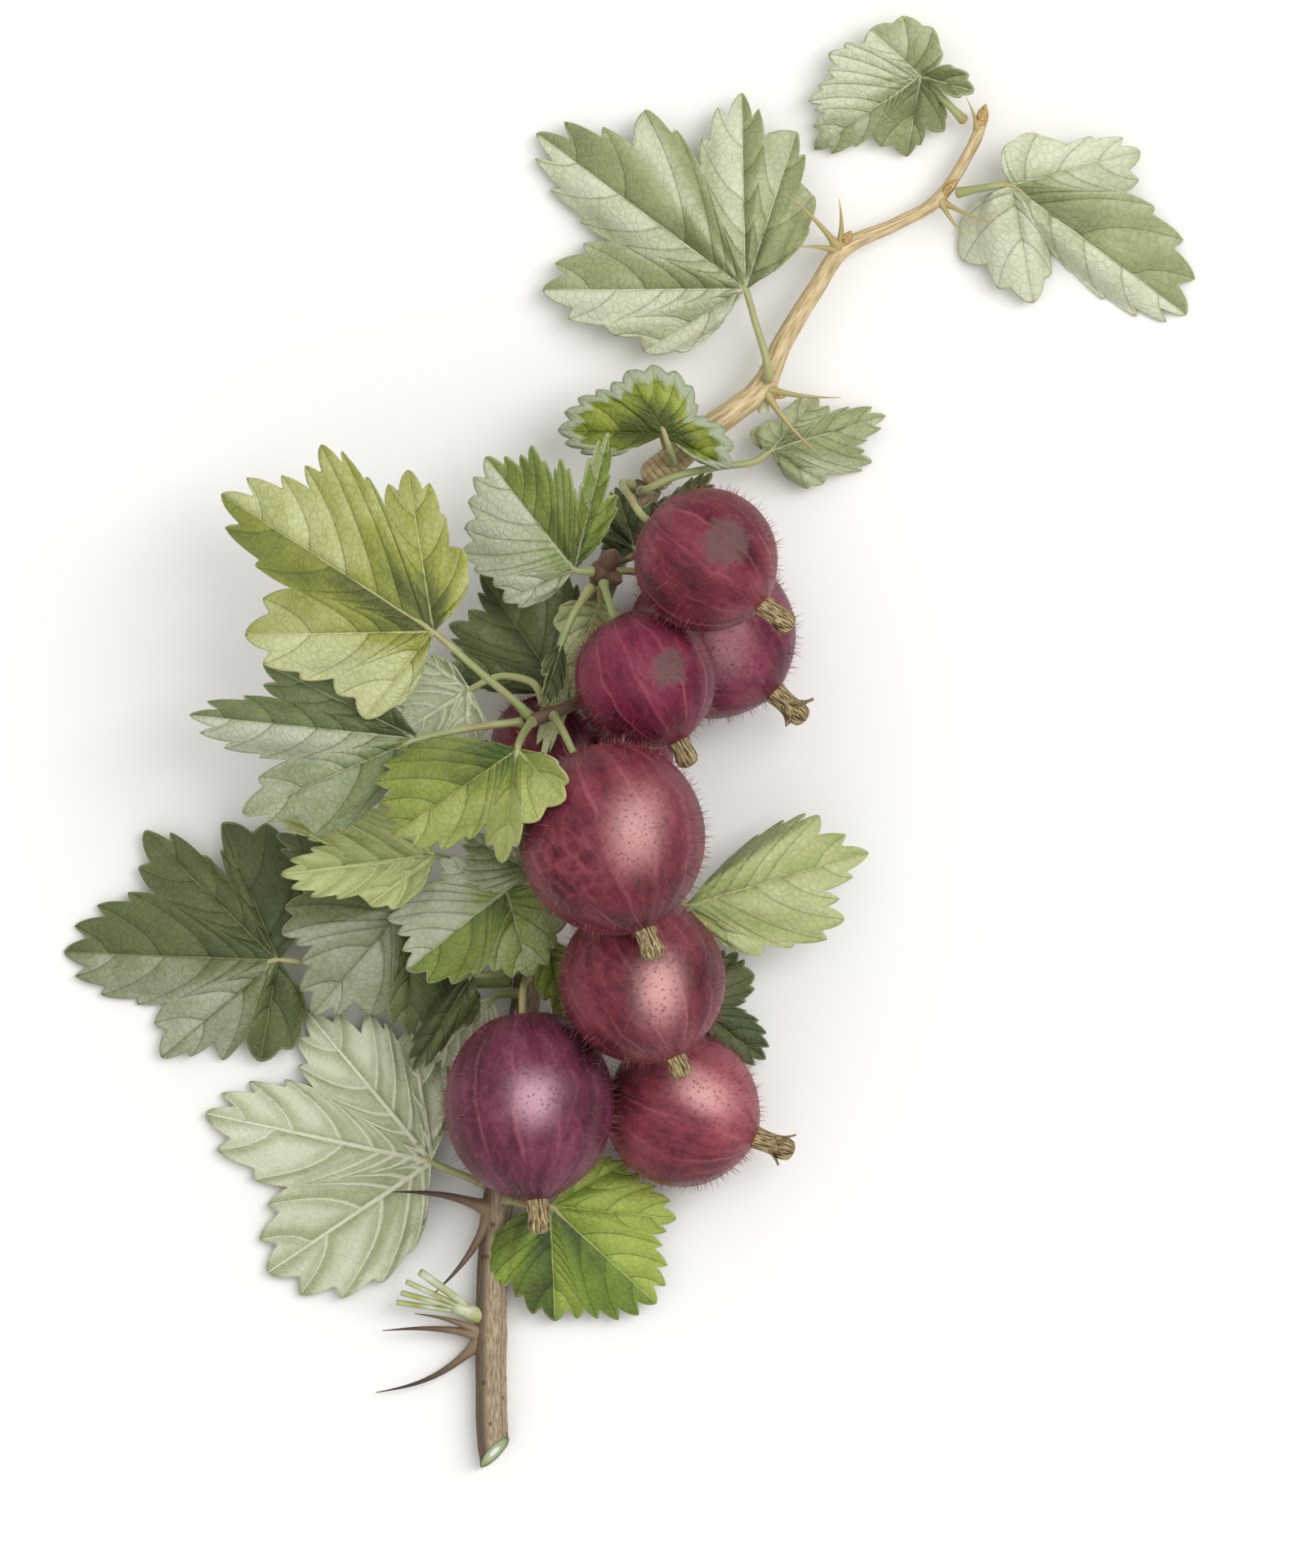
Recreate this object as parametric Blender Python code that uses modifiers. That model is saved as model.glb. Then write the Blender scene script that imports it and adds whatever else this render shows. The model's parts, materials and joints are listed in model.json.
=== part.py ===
"""Gooseberry branch in fruit: a cut branch of old wood and young shoot, lying on a table.

The frame has +X to the right, +Y towards the shoot's tip and +Z up from the table. The origin
is on the table under the middle of the branch. Places are in millimetres in this frame, and
angles are in degrees, anticlockwise from +X as seen from above.
"""
import math

import bmesh
import bpy
from mathutils import Matrix, Vector

MM = 0.001
CLEARANCE = 0.65
CURVE_STEPS = 2
WELD = 1e-6
# A blade: its thickness, the teeth's spacing as a share of its longest reach, their depth and
# lean, how sharp the notches between lobes are, how it sags and how high its pleats stand.
BLADE_THICKNESS = 0.5
TOOTH_SHARE = 0.16
TOOTH_DEPTH = 0.1
TOOTH_LEAN = 0.38
SINUS_SHARPNESS = 1.7
CORNER_RISE = 0.6
BLADE_SAG = 1.3
PLEAT_HEIGHT = 0.9
PLEAT_LEVEL = 0.35
PLEAT_SWELL = 0.6
PLEAT_ROW = 0.5
# Stalks: radii, how a leaf's stalk thickens towards the wood, and how far it runs on under
# the blade.
PETIOLE_RADIUS = 0.6
PETIOLE_THINNEST = 0.8
PETIOLE_THICKEST = 1.1
STALK_REACH = 0.12
PEDICEL_RADIUS = 0.55
# A berry: how deep its stalk and flower start under the skin, and the dried flower's radii.
EMBEDDING = 1.6
CALYX_FOOT_RADIUS = 1.36
CALYX_RADIUS = 1.7
CALYX_SIDES = 7
BERRY_SEGMENTS = 14
BERRY_RINGS = 9
CUT_NORMAL = (0.9, -1.0, 0.55)
CUT_CENTRE = (-18.8, -100.7, 2.35)
CUTTER_SIZE = 16.0

# Limbs: places along the centre line, each with the limb's radius there.
OLD_WOOD = (
    (-19.2, -106.0, 2.36, 2.34),
    (-19.1, -98.1, 2.40, 2.30),
    (-19.3, -92.4, 2.40, 2.25),
    (-19.2, -77.0, 2.50, 2.22),
    (-18.4, -65.5, 2.60, 2.15),
    (-16.4, -50.3, 2.70, 2.10),
    (-14.1, -34.4, 2.90, 2.10),
    (-11.4, -15.5, 3.10, 2.05),
    (-10.9, 0.6, 3.40, 2.00),
    (-7.7, 12.4, 4.00, 1.95),
    (-4.4, 20.6, 4.80, 1.95),
    (-0.1, 31.0, 6.00, 1.95),
    (3.2, 37.6, 7.60, 2.10),
)
YOUNG_SHOOT = (
    (3.9, 38.9, 7.90, 2.35),
    (6.6, 41.2, 8.30, 2.20),
    (12.1, 45.9, 8.50, 1.90),
    (15.6, 48.5, 8.10, 1.80),
    (19.7, 52.0, 7.50, 1.70),
    (22.6, 58.4, 7.00, 1.45),
    (27.2, 65.9, 6.20, 1.28),
    (31.3, 71.7, 5.60, 1.20),
    (38.8, 75.2, 5.00, 0.95),
    (44.7, 78.7, 4.60, 0.92),
    (49.3, 85.7, 4.20, 0.82),
    (51.0, 89.6, 4.00, 0.75),
)
FRUIT_SPUR = (
    (-3.6, 24.6, 8.4, 1.60),
    (-3.6, 24.9, 14.0, 1.45),
    (-3.5, 25.1, 22.0, 1.50),
    (-3.4, 25.2, 25.6, 1.75),
)
LEAF_SPUR = (
    (-6.6, 11.4, 7.0, 1.10),
    (-5.3, 9.7, 14.0, 1.00),
    (-4.9, 8.2, 21.0, 0.90),
    (-7.2, 6.4, 26.6, 0.90),
    (-13.2, 4.0, 28.2, 1.00),
)

# Spines, buds and cut stalks: name of the limb, foot, tip, foot radius, tip radius.
SPINES = (
    ("old_wood", (-19.3, -65.9, 3.2), (-33.3, -63.3, 8.6), 0.95, 0.06),
    ("old_wood", (-19.3, -66.6, 3.2), (-27.4, -77.9, 6.2), 0.90, 0.06),
    ("old_wood", (-20.6, -83.6, 3.0), (-30.2, -80.8, 5.2), 0.70, 0.06),
    ("old_wood", (-20.6, -83.9, 2.8), (-34.8, -83.3, 3.0), 0.80, 0.06),
    ("old_wood", (-20.6, -84.6, 2.6), (-35.8, -92.2, 1.3), 0.80, 0.06),
    ("old_wood", (-20.4, -81.4, 2.8), (-24.6, -79.8, 4.6), 1.30, 0.95),
    ("old_wood", (-22.6, -79.8, 4.2), (-29.3, -74.8, 8.8), 0.55, 0.60),
    ("old_wood", (-23.2, -80.0, 4.2), (-31.3, -76.2, 7.6), 0.40, 0.42),
    ("old_wood", (-23.4, -80.2, 4.0), (-32.1, -77.8, 6.0), 0.40, 0.42),
    ("old_wood", (-23.4, -80.6, 3.8), (-32.8, -79.2, 4.4), 0.40, 0.42),
    ("young_shoot", (20.0, 51.5, 8.2), (30.7, 50.2, 10.8), 0.60, 0.05),
    ("young_shoot", (20.0, 51.0, 8.2), (27.7, 42.0, 10.2), 0.60, 0.05),
    ("young_shoot", (19.5, 51.0, 7.4), (19.7, 48.2, 6.8), 1.00, 0.85),
    ("young_shoot", (20.4, 51.4, 7.8), (22.6, 50.4, 8.6), 0.75, 0.30),
    ("young_shoot", (30.6, 71.5, 6.0), (22.7, 79.4, 13.2), 0.60, 0.05),
    ("young_shoot", (30.6, 71.7, 6.0), (30.5, 78.6, 9.0), 0.60, 0.05),
    ("young_shoot", (30.4, 71.3, 6.0), (24.1, 71.7, 10.8), 0.55, 0.05),
    ("young_shoot", (31.0, 71.8, 6.0), (32.1, 73.9, 7.2), 0.75, 0.35),
    ("young_shoot", (45.0, 78.5, 4.4), (52.9, 75.1, 8.8), 0.50, 0.05),
    ("young_shoot", (45.0, 78.5, 4.8), (48.8, 73.1, 6.8), 0.50, 0.05),
    ("young_shoot", (45.2, 79.2, 4.8), (47.4, 81.3, 5.6), 0.65, 0.30),
    ("young_shoot", (50.3, 88.9, 4.4), (48.7, 93.2, 5.8), 0.40, 0.10),
    ("young_shoot", (50.6, 88.9, 4.1), (51.3, 91.9, 4.3), 0.80, 0.45),
    ("young_shoot", (6.2, 42.0, 8.6), (4.9, 45.9, 10.0), 0.55, 0.15),
    ("fruit_spur", (-3.2, 25.4, 23.6), (-1.4, 28.2, 28.8), 1.45, 0.30),
    ("fruit_spur", (-3.2, 25.0, 23.4), (-0.6, 23.8, 27.4), 1.30, 0.30),
)

# Berries: name, centre, half widths along X, Y and Z, tip of the dried flower, route of the
# stalk from the berry to the middle of the wood it hangs from, and that wood's radius.
BERRIES = (
    ("berry_1", (11.4, 26.7, 39.2), (10.2, 10.2, 10.2), (23.3, 17.4, 41.0),
     ((2.4, 33.0, 38.2), (0.6, 35.7, 33.0), (-0.5, 37.8, 22.0), (1.2, 37.6, 9.4)), 2.2),
    ("berry_2", (12.3, 16.3, 12.0), (12.0, 12.0, 12.0), (25.4, 4.3, 13.0),
     ((3.4, 24.7, 12.6), (0.2, 25.4, 13.4), (-3.6, 24.8, 14.4)), 1.5),
    ("berry_3", (2.8, 9.9, 31.3), (10.0, 10.0, 10.0), (9.0, -2.0, 32.0),
     ((-1.7, 18.9, 31.9), (-2.6, 21.6, 30.4), (-3.4, 24.6, 25.6)), 1.7),
    ("berry_4", (-1.9, -12.6, 42.2), (13.2, 13.7, 13.2), (4.0, -29.3, 44.0),
     ((-7.6, -0.1, 42.4), (-9.0, 2.8, 36.0), (-10.4, 5.0, 27.6)), 1.0),
    ("berry_5", (2.4, -32.9, 27.6), (11.8, 11.8, 11.8), (8.1, -46.2, 29.0),
     ((-2.0, -22.2, 27.2), (-6.2, -20.4, 20.0), (-11.9, -19.4, 3.4)), 2.1),
    ("berry_6", (8.0, -51.5, 11.1), (11.1, 11.1, 11.1), (23.7, -57.4, 11.6),
     ((-2.2, -47.4, 10.6), (-8.0, -44.8, 8.2), (-15.4, -43.6, 2.8)), 2.1),
    ("berry_7", (-13.7, -50.6, 20.4), (12.1, 13.5, 12.1), (-12.3, -68.6, 21.6),
     ((-14.7, -37.6, 21.0), (-14.6, -34.2, 18.6), (-14.0, -32.6, 3.0)), 2.1),
    ("berry_8", (-12.1, 0.6, 17.8), (7.1, 7.1, 7.1), (-8.6, -8.4, 17.8),
     ((-14.6, 6.0, 21.6), (-14.8, 5.8, 24.4), (-13.0, 4.1, 28.1)), 1.0),
    ("berry_9", (-0.7, -0.9, 7.9), (7.5, 7.5, 7.5), (5.6, -7.9, 8.2),
     ((-4.6, 5.4, 9.6), (-5.2, 7.2, 10.6), (-5.7, 10.4, 11.6)), 1.0),
)

# Leaves: name, blade's foot, route of the stalk after the foot, radius of the wood it meets,
# outline and the rise of each lobe's tip above the foot.
# The outline is corner, lobe, notch, lobe and so on to the other corner, each as an angle
# and a distance from the foot.
LEAVES = (
    ("leaf_01", (42.2, 96.2, 7.2), ((46.0, 92.4, 6.4), (49.2, 89.2, 4.2)), 0.8,
     ((-36, 4.4), (-16, 7.9), (30, 2.6), (137, 9.9), (151, 9.4), (166, 13.6), (181, 12.2),
      (192, 16.4), (200, 14.4), (214, 18.2), (230, 10.6), (260, 11.4), (276, 7.2),
      (293, 8.4), (311, 4.6)),
     (1.6, -0.6, -2.0, -3.6, -5.4, -5.6, -3.6)),
    ("leaf_02", (17.1, 65.7, 11.0), ((18.6, 60.6, 11.0), (19.9, 56.4, 11.2), (20.3, 53.6, 10.6),
                                 (20.1, 52.0, 7.5)),
     1.7,
     ((33, 5.5), (54, 16.6), (63, 17.2), (72, 23.8), (83, 22.2), (91, 28.2), (110, 18.6),
      (119, 29.5), (128, 26.2), (143, 37.4), (160, 20.4), (180, 29.0), (194, 20.8),
      (211, 17.0), (235, 6.5)),
     (-4.0, -4.8, -5.6, -5.6, -8.8, -7.4, -4.8)),
    ("leaf_03", (55.1, 80.6, 8.2), ((51.0, 80.2, 7.8), (45.2, 79.1, 4.9)), 2.2,
     ((202, 4.0), (238, 12.6), (254, 11.6), (281, 17.0), (302, 9.8), (324, 31.2),
      (357, 16.4), (375, 19.2), (396, 10.0), (424, 8.2), (480, 2.6)),
     (-5.2, -5.6, -7.6, -3.0, 0.6)),
    ("leaf_04", (20.9, 42.8, 7.8), ((18.2, 41.0, 8.8), (13.3, 40.3, 10.6), (7.0, 38.9, 13.4),
                                    (2.8, 36.9, 13.2), (2.2, 37.0, 7.2)),
     2.1,
     ((292, 2.4), (327, 8.8), (338, 8.4), (354, 14.4), (363, 11.4), (377, 17.0),
      (393, 9.8), (409, 10.0), (439, 4.0), (497, 4.0), (535, 1.6)),
     (-5.0, -5.6, -6.0, -3.4, -1.4)),
    ("leaf_05", (5.6, 44.9, 18.0), ((6.5, 42.0, 16.4), (6.7, 40.7, 8.4)), 2.2,
     ((-42, 4.2), (-27, 10.6), (30, 4.8), (121, 10.4), (142, 9.8), (178, 15.2), (204, 7.0)),
     (-3.0, -1.6, -3.4)),
    ("leaf_06", (-7.3, 25.5, 27.4), ((-5.0, 25.2, 27.2), (-3.5, 25.1, 25.2)), 1.7,
     ((46, 5.0), (60, 12.2), (67, 10.6), (76, 20.0), (87, 8.6), (97, 15.8), (103, 12.4),
      (109, 18.6), (118, 16.2), (128, 20.4), (142, 17.4), (171, 16.2), (186, 11.4),
      (204, 11.0), (232, 3.6)),
     (1.4, 2.6, 1.6, 0.0, -4.4, -6.4, -3.6)),
    ("leaf_07", (2.6, 31.0, 10.8), ((0.9, 31.0, 10.4), (-0.1, 31.0, 6.0)), 1.9,
     ((-2, 4.0), (18, 11.0), (30, 10.6), (41, 12.9), (54, 6.2), (72, 4.8), (104, 2.6)),
     (-0.4, -0.8, -0.2)),
    ("leaf_08", (1.4, 28.5, 13.6), ((1.3, 27.6, 11.8), (-1.4, 27.0, 5.6)), 1.9,
     ((72, 4.0), (108, 9.3), (122, 7.0), (140, 6.6), (158, 5.2), (179, 4.9), (214, 2.4)),
     (0.2, 0.4, 0.0)),
    ("leaf_09", (-27.2, 16.6, 38.0), ((-21.0, 11.2, 35.4), (-15.6, 6.6, 31.2),
                                      (-13.3, 4.1, 28.2)),
     1.0,
     ((44, 4.0), (71, 12.4), (80, 12.2), (99, 23.2), (111, 19.2), (121, 31.0), (131, 26.8),
      (147, 36.0), (163, 21.2), (181, 26.8), (205, 15.6), (231, 15.8), (256, 5.0)),
     (-0.6, -3.6, -6.6, -10.6, -8.4, -4.6)),
    ("leaf_10", (-29.4, 1.4, 33.0), ((-21.6, 3.0, 30.8), (-16.2, 3.7, 28.8),
                                     (-13.3, 3.9, 28.2)),
     1.0,
     ((126, 5.0), (154, 24.6), (164, 20.8), (174, 32.8), (189, 18.4), (203, 27.2),
      (212, 20.6), (223, 20.0), (242, 5.0)),
     (-7.6, -10.4, -7.6, -4.0)),
    ("leaf_11", (-15.2, -0.1, 46.5), ((-14.8, 1.4, 41.0), (-13.8, 3.2, 33.0),
                                      (-13.0, 4.1, 28.2)),
     1.0,
     ((163, 4.0), (193, 20.6), (205, 19.4), (214, 21.6), (247, 11.4), (262, 16.2),
      (274, 10.4), (312, 9.8), (352, 3.6)),
     (-9.0, -11.0, -1.5, 8.0)),
    ("leaf_12", (-9.1, 8.4, 20.6), ((-7.4, 8.6, 20.6), (-4.9, 8.3, 20.6)), 1.0,
     ((66, 4.6), (88, 16.6), (106, 16.2), (125, 20.2), (134, 15.4), (150, 18.6),
      (158, 15.2), (169, 17.2), (186, 3.6)),
     (-3.4, -4.4, -5.4, -5.2)),
    ("leaf_13", (-22.2, 8.4, 24.4), ((-18.0, 10.3, 24.6), (-13.6, 9.6, 26.4),
                                     (-12.0, 7.6, 27.4), (-11.2, 4.9, 27.8)),
     1.0,
     ((122, 3.6), (146, 8.2), (168, 7.2), (212, 11.4), (238, 8.8), (266, 8.2), (300, 5.2)),
     (0.0, -1.0, -0.6)),
    ("leaf_14", (-3.6, 21.0, 21.4), ((-3.5, 22.4, 21.6), (-3.5, 25.0, 21.8)), 1.5,
     ((178, 4.0), (206, 7.4), (236, 9.4), (250, 24.0), (255, 12.4), (288, 8.6), (330, 3.6)),
     (0.2, 5.6, -0.4)),
    ("leaf_15", (-49.8, -30.2, 6.4), ((-40.0, -31.6, 4.8), (-28.0, -33.6, 3.8),
                                      (-14.0, -33.4, 2.9)),
     2.1,
     ((52, 8.0), (112, 21.2), (121, 12.8), (136, 26.6), (152, 20.0), (178, 30.7),
      (201, 17.0), (220, 21.8), (232, 14.4), (241, 16.4), (247, 11.8), (260, 14.8),
      (308, 5.6)),
     (-2.8, -3.6, -5.6, -4.8, -4.4, -3.8)),
    ("leaf_16", (-27.2, -15.2, 22.0), ((-22.4, -16.4, 20.6), (-16.0, -16.6, 13.0),
                                       (-11.4, -16.0, 3.2)),
     2.1,
     ((104, 2.6), (132, 11.2), (152, 11.6), (167, 23.6), (174, 14.6), (187, 22.0),
      (207, 12.2), (217, 11.6), (256, 2.2)),
     (1.0, -5.6, -5.0, -1.6)),
    ("leaf_18", (-30.9, -21.9, 13.6), ((-25.0, -22.4, 12.4), (-18.0, -23.2, 8.4),
                                       (-12.4, -23.8, 3.1)),
     2.1,
     ((126, 6.0), (153, 21.4), (165, 13.4), (194, 18.8), (204, 15.0), (229, 21.2),
      (241, 16.4), (251, 17.0), (259, 15.6), (270, 19.0), (281, 16.8), (290, 16.2),
      (318, 5.0)),
     (-3.6, -5.0, -6.6, -6.2, -6.2, -4.6)),
    ("leaf_19", (-17.0, -20.1, 25.0), ((-14.4, -19.2, 22.0), (-11.8, -18.5, 3.2)), 2.1,
     ((136, 5.0), (155, 10.4), (171, 8.6), (194, 17.4), (206, 15.0), (219, 18.2),
      (256, 10.6), (286, 12.8), (318, 9.4), (333, 9.8), (372, 4.0)),
     (-1.6, -8.2, -7.0, -3.4, -2.4)),
    ("leaf_20", (-27.7, -59.1, 5.6), ((-23.4, -61.0, 5.4), (-17.9, -63.2, 2.6)), 2.15,
     ((68, 5.6), (99, 19.0), (106, 18.0), (113, 23.0), (119, 21.0), (130, 28.2),
      (148, 20.0), (168, 33.2), (190, 21.0), (214, 28.4), (264, 8.6)),
     (-2.6, -3.2, -3.8, -4.4, -4.2)),
    ("leaf_21", (-10.7, -65.3, 10.6), ((-13.4, -65.3, 9.6), (-16.4, -64.6, 6.4),
                                       (-18.2, -64.2, 2.6)),
     2.15,
     ((194, 3.4), (231, 14.4), (243, 12.0), (272, 16.6), (288, 15.6), (317, 20.6),
      (344, 14.8), (354, 18.0), (375, 13.0), (390, 12.6), (414, 5.0)),
     (-4.4, -8.0, -7.4, -5.2, -3.6)),
    ("leaf_22", (8.7, -22.3, 21.0), ((3.0, -20.2, 19.0), (-4.0, -17.8, 12.0),
                                     (-11.1, -15.6, 3.2)),
     2.1,
     ((-50, 5.0), (-33, 12.8), (-27, 12.0), (-5, 22.6), (6, 19.6), (16, 27.0), (28, 21.2),
      (34, 22.8), (50, 5.0)),
     (-3.6, -8.0, -10.4, -8.4)),
    ("leaf_23", (9.8, -37.0, 7.4), ((2.0, -38.8, 6.4), (-8.0, -39.0, 5.2),
                                    (-14.8, -38.8, 2.9)),
     2.1,
     ((-70, 4.5), (-36, 12.6), (1, 5.8), (29, 9.8), (40, 9.2), (52, 10.0), (90, 3.6)),
     (-4.6, -2.4, -1.8)),
    ("leaf_24", (-21.9, -32.3, 17.0), ((-18.2, -32.2, 14.0), (-14.0, -31.4, 3.0)), 2.1,
     ((216, 3.6), (238, 16.2), (250, 9.0), (262, 7.4), (292, 3.0)),
     (-6.0, -3.0)),
    ("leaf_25", (-18.9, -35.4, 8.0), ((-17.2, -35.0, 7.2), (-14.3, -35.0, 2.9)), 2.1,
     ((200, 4.0), (226, 13.0), (238, 11.4), (250, 13.6), (284, 4.6)),
     (-1.8, -1.0)),
    ("leaf_27", (-12.9, -17.8, 28.0), ((-11.6, -16.6, 24.0), (-11.1, -13.4, 3.2)), 2.1,
     ((100, 2.6), (126, 6.8), (138, 6.2), (150, 12.0), (163, 9.6), (176, 10.2), (210, 4.8)),
     (-1.0, -1.6, -1.2)),
    ("leaf_28", (-10.9, -27.1, 14.6), ((-11.2, -26.6, 12.4), (-12.9, -26.2, 3.0)), 2.1,
     ((240, 2.6), (265, 8.8), (271, 8.2), (280, 14.8), (291, 8.4), (302, 7.0), (336, 2.4)),
     (-0.6, -2.2, -0.4)),
    ("leaf_29", (-9.1, 14.8, 29.2), ((-7.4, 19.0, 28.6), (-3.8, 24.6, 25.2)), 1.7,
     ((216, 2.6), (238, 5.2), (245, 4.8), (253, 9.4), (288, 2.4)),
     (0.2, 1.2)),
)

COLOURS = {
    "old_wood": ("8a735c", 0.8),
    "young_shoot": ("bf9b66", 0.7),
    "fruit_spur": ("6d5340", 0.85),
    "leaf_spur": ("8f9a55", 0.7),
    "leaf": ("7f9a52", 0.7),
    "berry": ("7d2e42", 0.4),
}


def linear(hex_colour):
    """Turn an sRGB hex colour to linear red, green, blue and alpha."""
    levels = [int(hex_colour[i:i + 2], 16) / 255 for i in (0, 2, 4)]
    return [v / 12.92 if v <= 0.04045 else ((v + 0.055) / 1.055) ** 2.4 for v in levels] + [1.0]


def make_material(name, hex_colour, roughness):
    """Make a plain Principled material for one sub-part."""
    material = bpy.data.materials.new(name)
    material.use_nodes = True
    shader = material.node_tree.nodes["Principled BSDF"]
    shader.inputs["Base Color"].default_value = linear(hex_colour)
    shader.inputs["Roughness"].default_value = roughness
    shader.inputs["Metallic"].default_value = 0.0
    return material


def place(point):
    """Turn a place in millimetres to metres."""
    return Vector(point[:3]) * MM


def smooth_route(points, steps=CURVE_STEPS):
    """Read a smooth curve through points of any number of values."""
    ends = [tuple(2 * a - b for a, b in zip(points[0], points[1])),
            tuple(2 * a - b for a, b in zip(points[-1], points[-2]))]
    knots = [ends[0], *points, ends[1]]
    route = []
    for i in range(1, len(knots) - 2):
        p0, p1, p2, p3 = knots[i - 1:i + 3]
        for k in range(steps):
            t = k / steps
            route.append(tuple(
                0.5 * (2 * b + (c - a) * t + (2 * a - 5 * b + 4 * c - d) * t * t
                       + (3 * b - a - 3 * c + d) * t ** 3)
                for a, b, c, d in zip(p0, p1, p2, p3)))
    route.append(tuple(points[-1]))
    return route


def stop_short(route, gap):
    """Cut the end of a route back by a gap, so that it ends clear of the wood."""
    route = [tuple(p) for p in route]
    while len(route) > 2 and (Vector(route[-2][:3]) - Vector(route[-1][:3])).length <= gap:
        gap -= (Vector(route[-2][:3]) - Vector(route[-1][:3])).length
        route.pop()
    last, before = Vector(route[-1]), Vector(route[-2])
    step = before - last
    route[-1] = tuple(last + step * (gap / step.length))
    return route


def new_object(name, mesh):
    """Put a mesh in the scene as a named object."""
    thing = bpy.data.objects.new(name, mesh)
    bpy.context.scene.collection.objects.link(thing)
    return thing


def applied(thing):
    """Replace an object by a plain mesh object of what it evaluates to."""
    bpy.context.view_layer.update()
    graph = bpy.context.evaluated_depsgraph_get()
    mesh = bpy.data.meshes.new_from_object(thing.evaluated_get(graph), depsgraph=graph)
    mesh.transform(thing.matrix_world)
    name = thing.name
    bpy.data.objects.remove(thing)
    body = bmesh.new()
    body.from_mesh(mesh)
    bmesh.ops.remove_doubles(body, verts=body.verts, dist=WELD)
    body.to_mesh(mesh)
    body.free()
    return new_object(name, mesh)


def make_tube(name, points, sides_level=1):
    """Make a closed tube along points of x, y, z and radius in millimetres."""
    curve = bpy.data.curves.new(name, "CURVE")
    curve.dimensions = "3D"
    curve.bevel_depth = MM
    curve.bevel_resolution = sides_level
    curve.use_fill_caps = True
    spline = curve.splines.new("POLY")
    spline.points.add(len(points) - 1)
    for knot, (x, y, z, radius) in zip(spline.points, points):
        knot.co = (x * MM, y * MM, z * MM, 1.0)
        knot.radius = radius
    return applied(new_object(name, curve))


def make_cone(name, foot, tip, foot_radius, tip_radius, sides=6):
    """Make a cone or a tapered peg from a foot to a tip."""
    start, end = place(foot), place(tip)
    body = bmesh.new()
    bmesh.ops.create_cone(body, cap_ends=True, cap_tris=False, segments=sides,
                          radius1=foot_radius * MM, radius2=tip_radius * MM,
                          depth=(end - start).length)
    mesh = bpy.data.meshes.new(name)
    body.to_mesh(mesh)
    body.free()
    thing = new_object(name, mesh)
    thing.location = (start + end) / 2
    thing.rotation_mode = "QUATERNION"
    thing.rotation_quaternion = (end - start).to_track_quat("Z", "Y")
    return applied(thing)


def is_whole(mesh):
    """Tell whether a mesh is one closed body."""
    body = bmesh.new()
    body.from_mesh(mesh)
    closed = bool(body.faces) and all(edge.is_manifold for edge in body.edges)
    if closed:
        seen = {body.verts[:][0]}
        front = list(seen)
        while front:
            vertex = front.pop()
            for edge in vertex.link_edges:
                other = edge.other_vert(vertex)
                if other not in seen:
                    seen.add(other)
                    front.append(other)
        closed = len(seen) == len(body.verts)
    body.free()
    return closed


def fuse(base, others):
    """Join objects to a base by one Boolean union on a collection."""
    if not others:
        return base
    group = bpy.data.collections.new(base.name + "_pieces")
    bpy.context.scene.collection.children.link(group)
    for thing in others:
        bpy.context.scene.collection.objects.unlink(thing)
        group.objects.link(thing)
    union = base.modifiers.new("union", "BOOLEAN")
    union.operation = "UNION"
    union.operand_type = "COLLECTION"
    union.collection = group
    for solver in ("EXACT", "MANIFOLD"):
        union.solver = solver
        bpy.context.view_layer.update()
        graph = bpy.context.evaluated_depsgraph_get()
        mesh = bpy.data.meshes.new_from_object(base.evaluated_get(graph), depsgraph=graph)
        if is_whole(mesh):
            break
    name = base.name
    bpy.data.objects.remove(base)
    for thing in list(group.objects):
        bpy.data.objects.remove(thing)
    bpy.data.collections.remove(group)
    return new_object(name, mesh)


def tooth_count(tip, edge, longest):
    """Count the teeth on the margin between a lobe's tip and the notch beside it."""
    turn = math.radians(tip[0] - edge[0])
    length = math.sqrt(tip[1] ** 2 + edge[1] ** 2 - 2 * tip[1] * edge[1] * math.cos(turn))
    return max(0, round(length / (TOOTH_SHARE * longest) - 0.5))


def half_lobe(teeth):
    """Step from a lobe's tip to the notch beside it, as a share of the way and of the reach."""
    whole = teeth + 0.5
    steps = []
    for tooth in range(1, teeth + 1):
        steps += [((tooth - TOOTH_LEAN) / whole, 1 - TOOTH_DEPTH), (tooth / whole, 1.0)]
    return steps + [(1.0, 1 - TOOTH_DEPTH / 2)]


def blade_columns(outline, rises):
    """Work out the blade's margin, tooth by tooth, as angle, reach, rise and pleat."""
    columns = []
    lobes = list(zip(outline[1::2], rises))
    longest = max(reach for _, reach in outline)
    for index, ((angle, reach), rise) in enumerate(lobes):
        for side in (-1, 1):
            edge_angle, edge_reach = outline[2 * index + 1 + side]
            neighbour = index + side
            outer = rise * CORNER_RISE
            if 0 <= neighbour < len(lobes):
                outer = (rise + lobes[neighbour][1]) / 2
            fall = edge_reach / (1 - TOOTH_DEPTH / 2) - reach
            teeth = tooth_count((angle, reach), (edge_angle, edge_reach), longest)
            half = [(angle + (edge_angle - angle) * x,
                     (reach + fall * x ** SINUS_SHARPNESS) * left,
                     rise + (outer - rise) * x, x) for x, left in half_lobe(teeth)]
            if side < 0:
                columns += [*reversed(half), (angle, reach, rise, 0.0)]
            else:
                columns += half
    return [c for i, c in enumerate(columns) if i == 0 or abs(c[0] - columns[i - 1][0]) > 1e-6]


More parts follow.
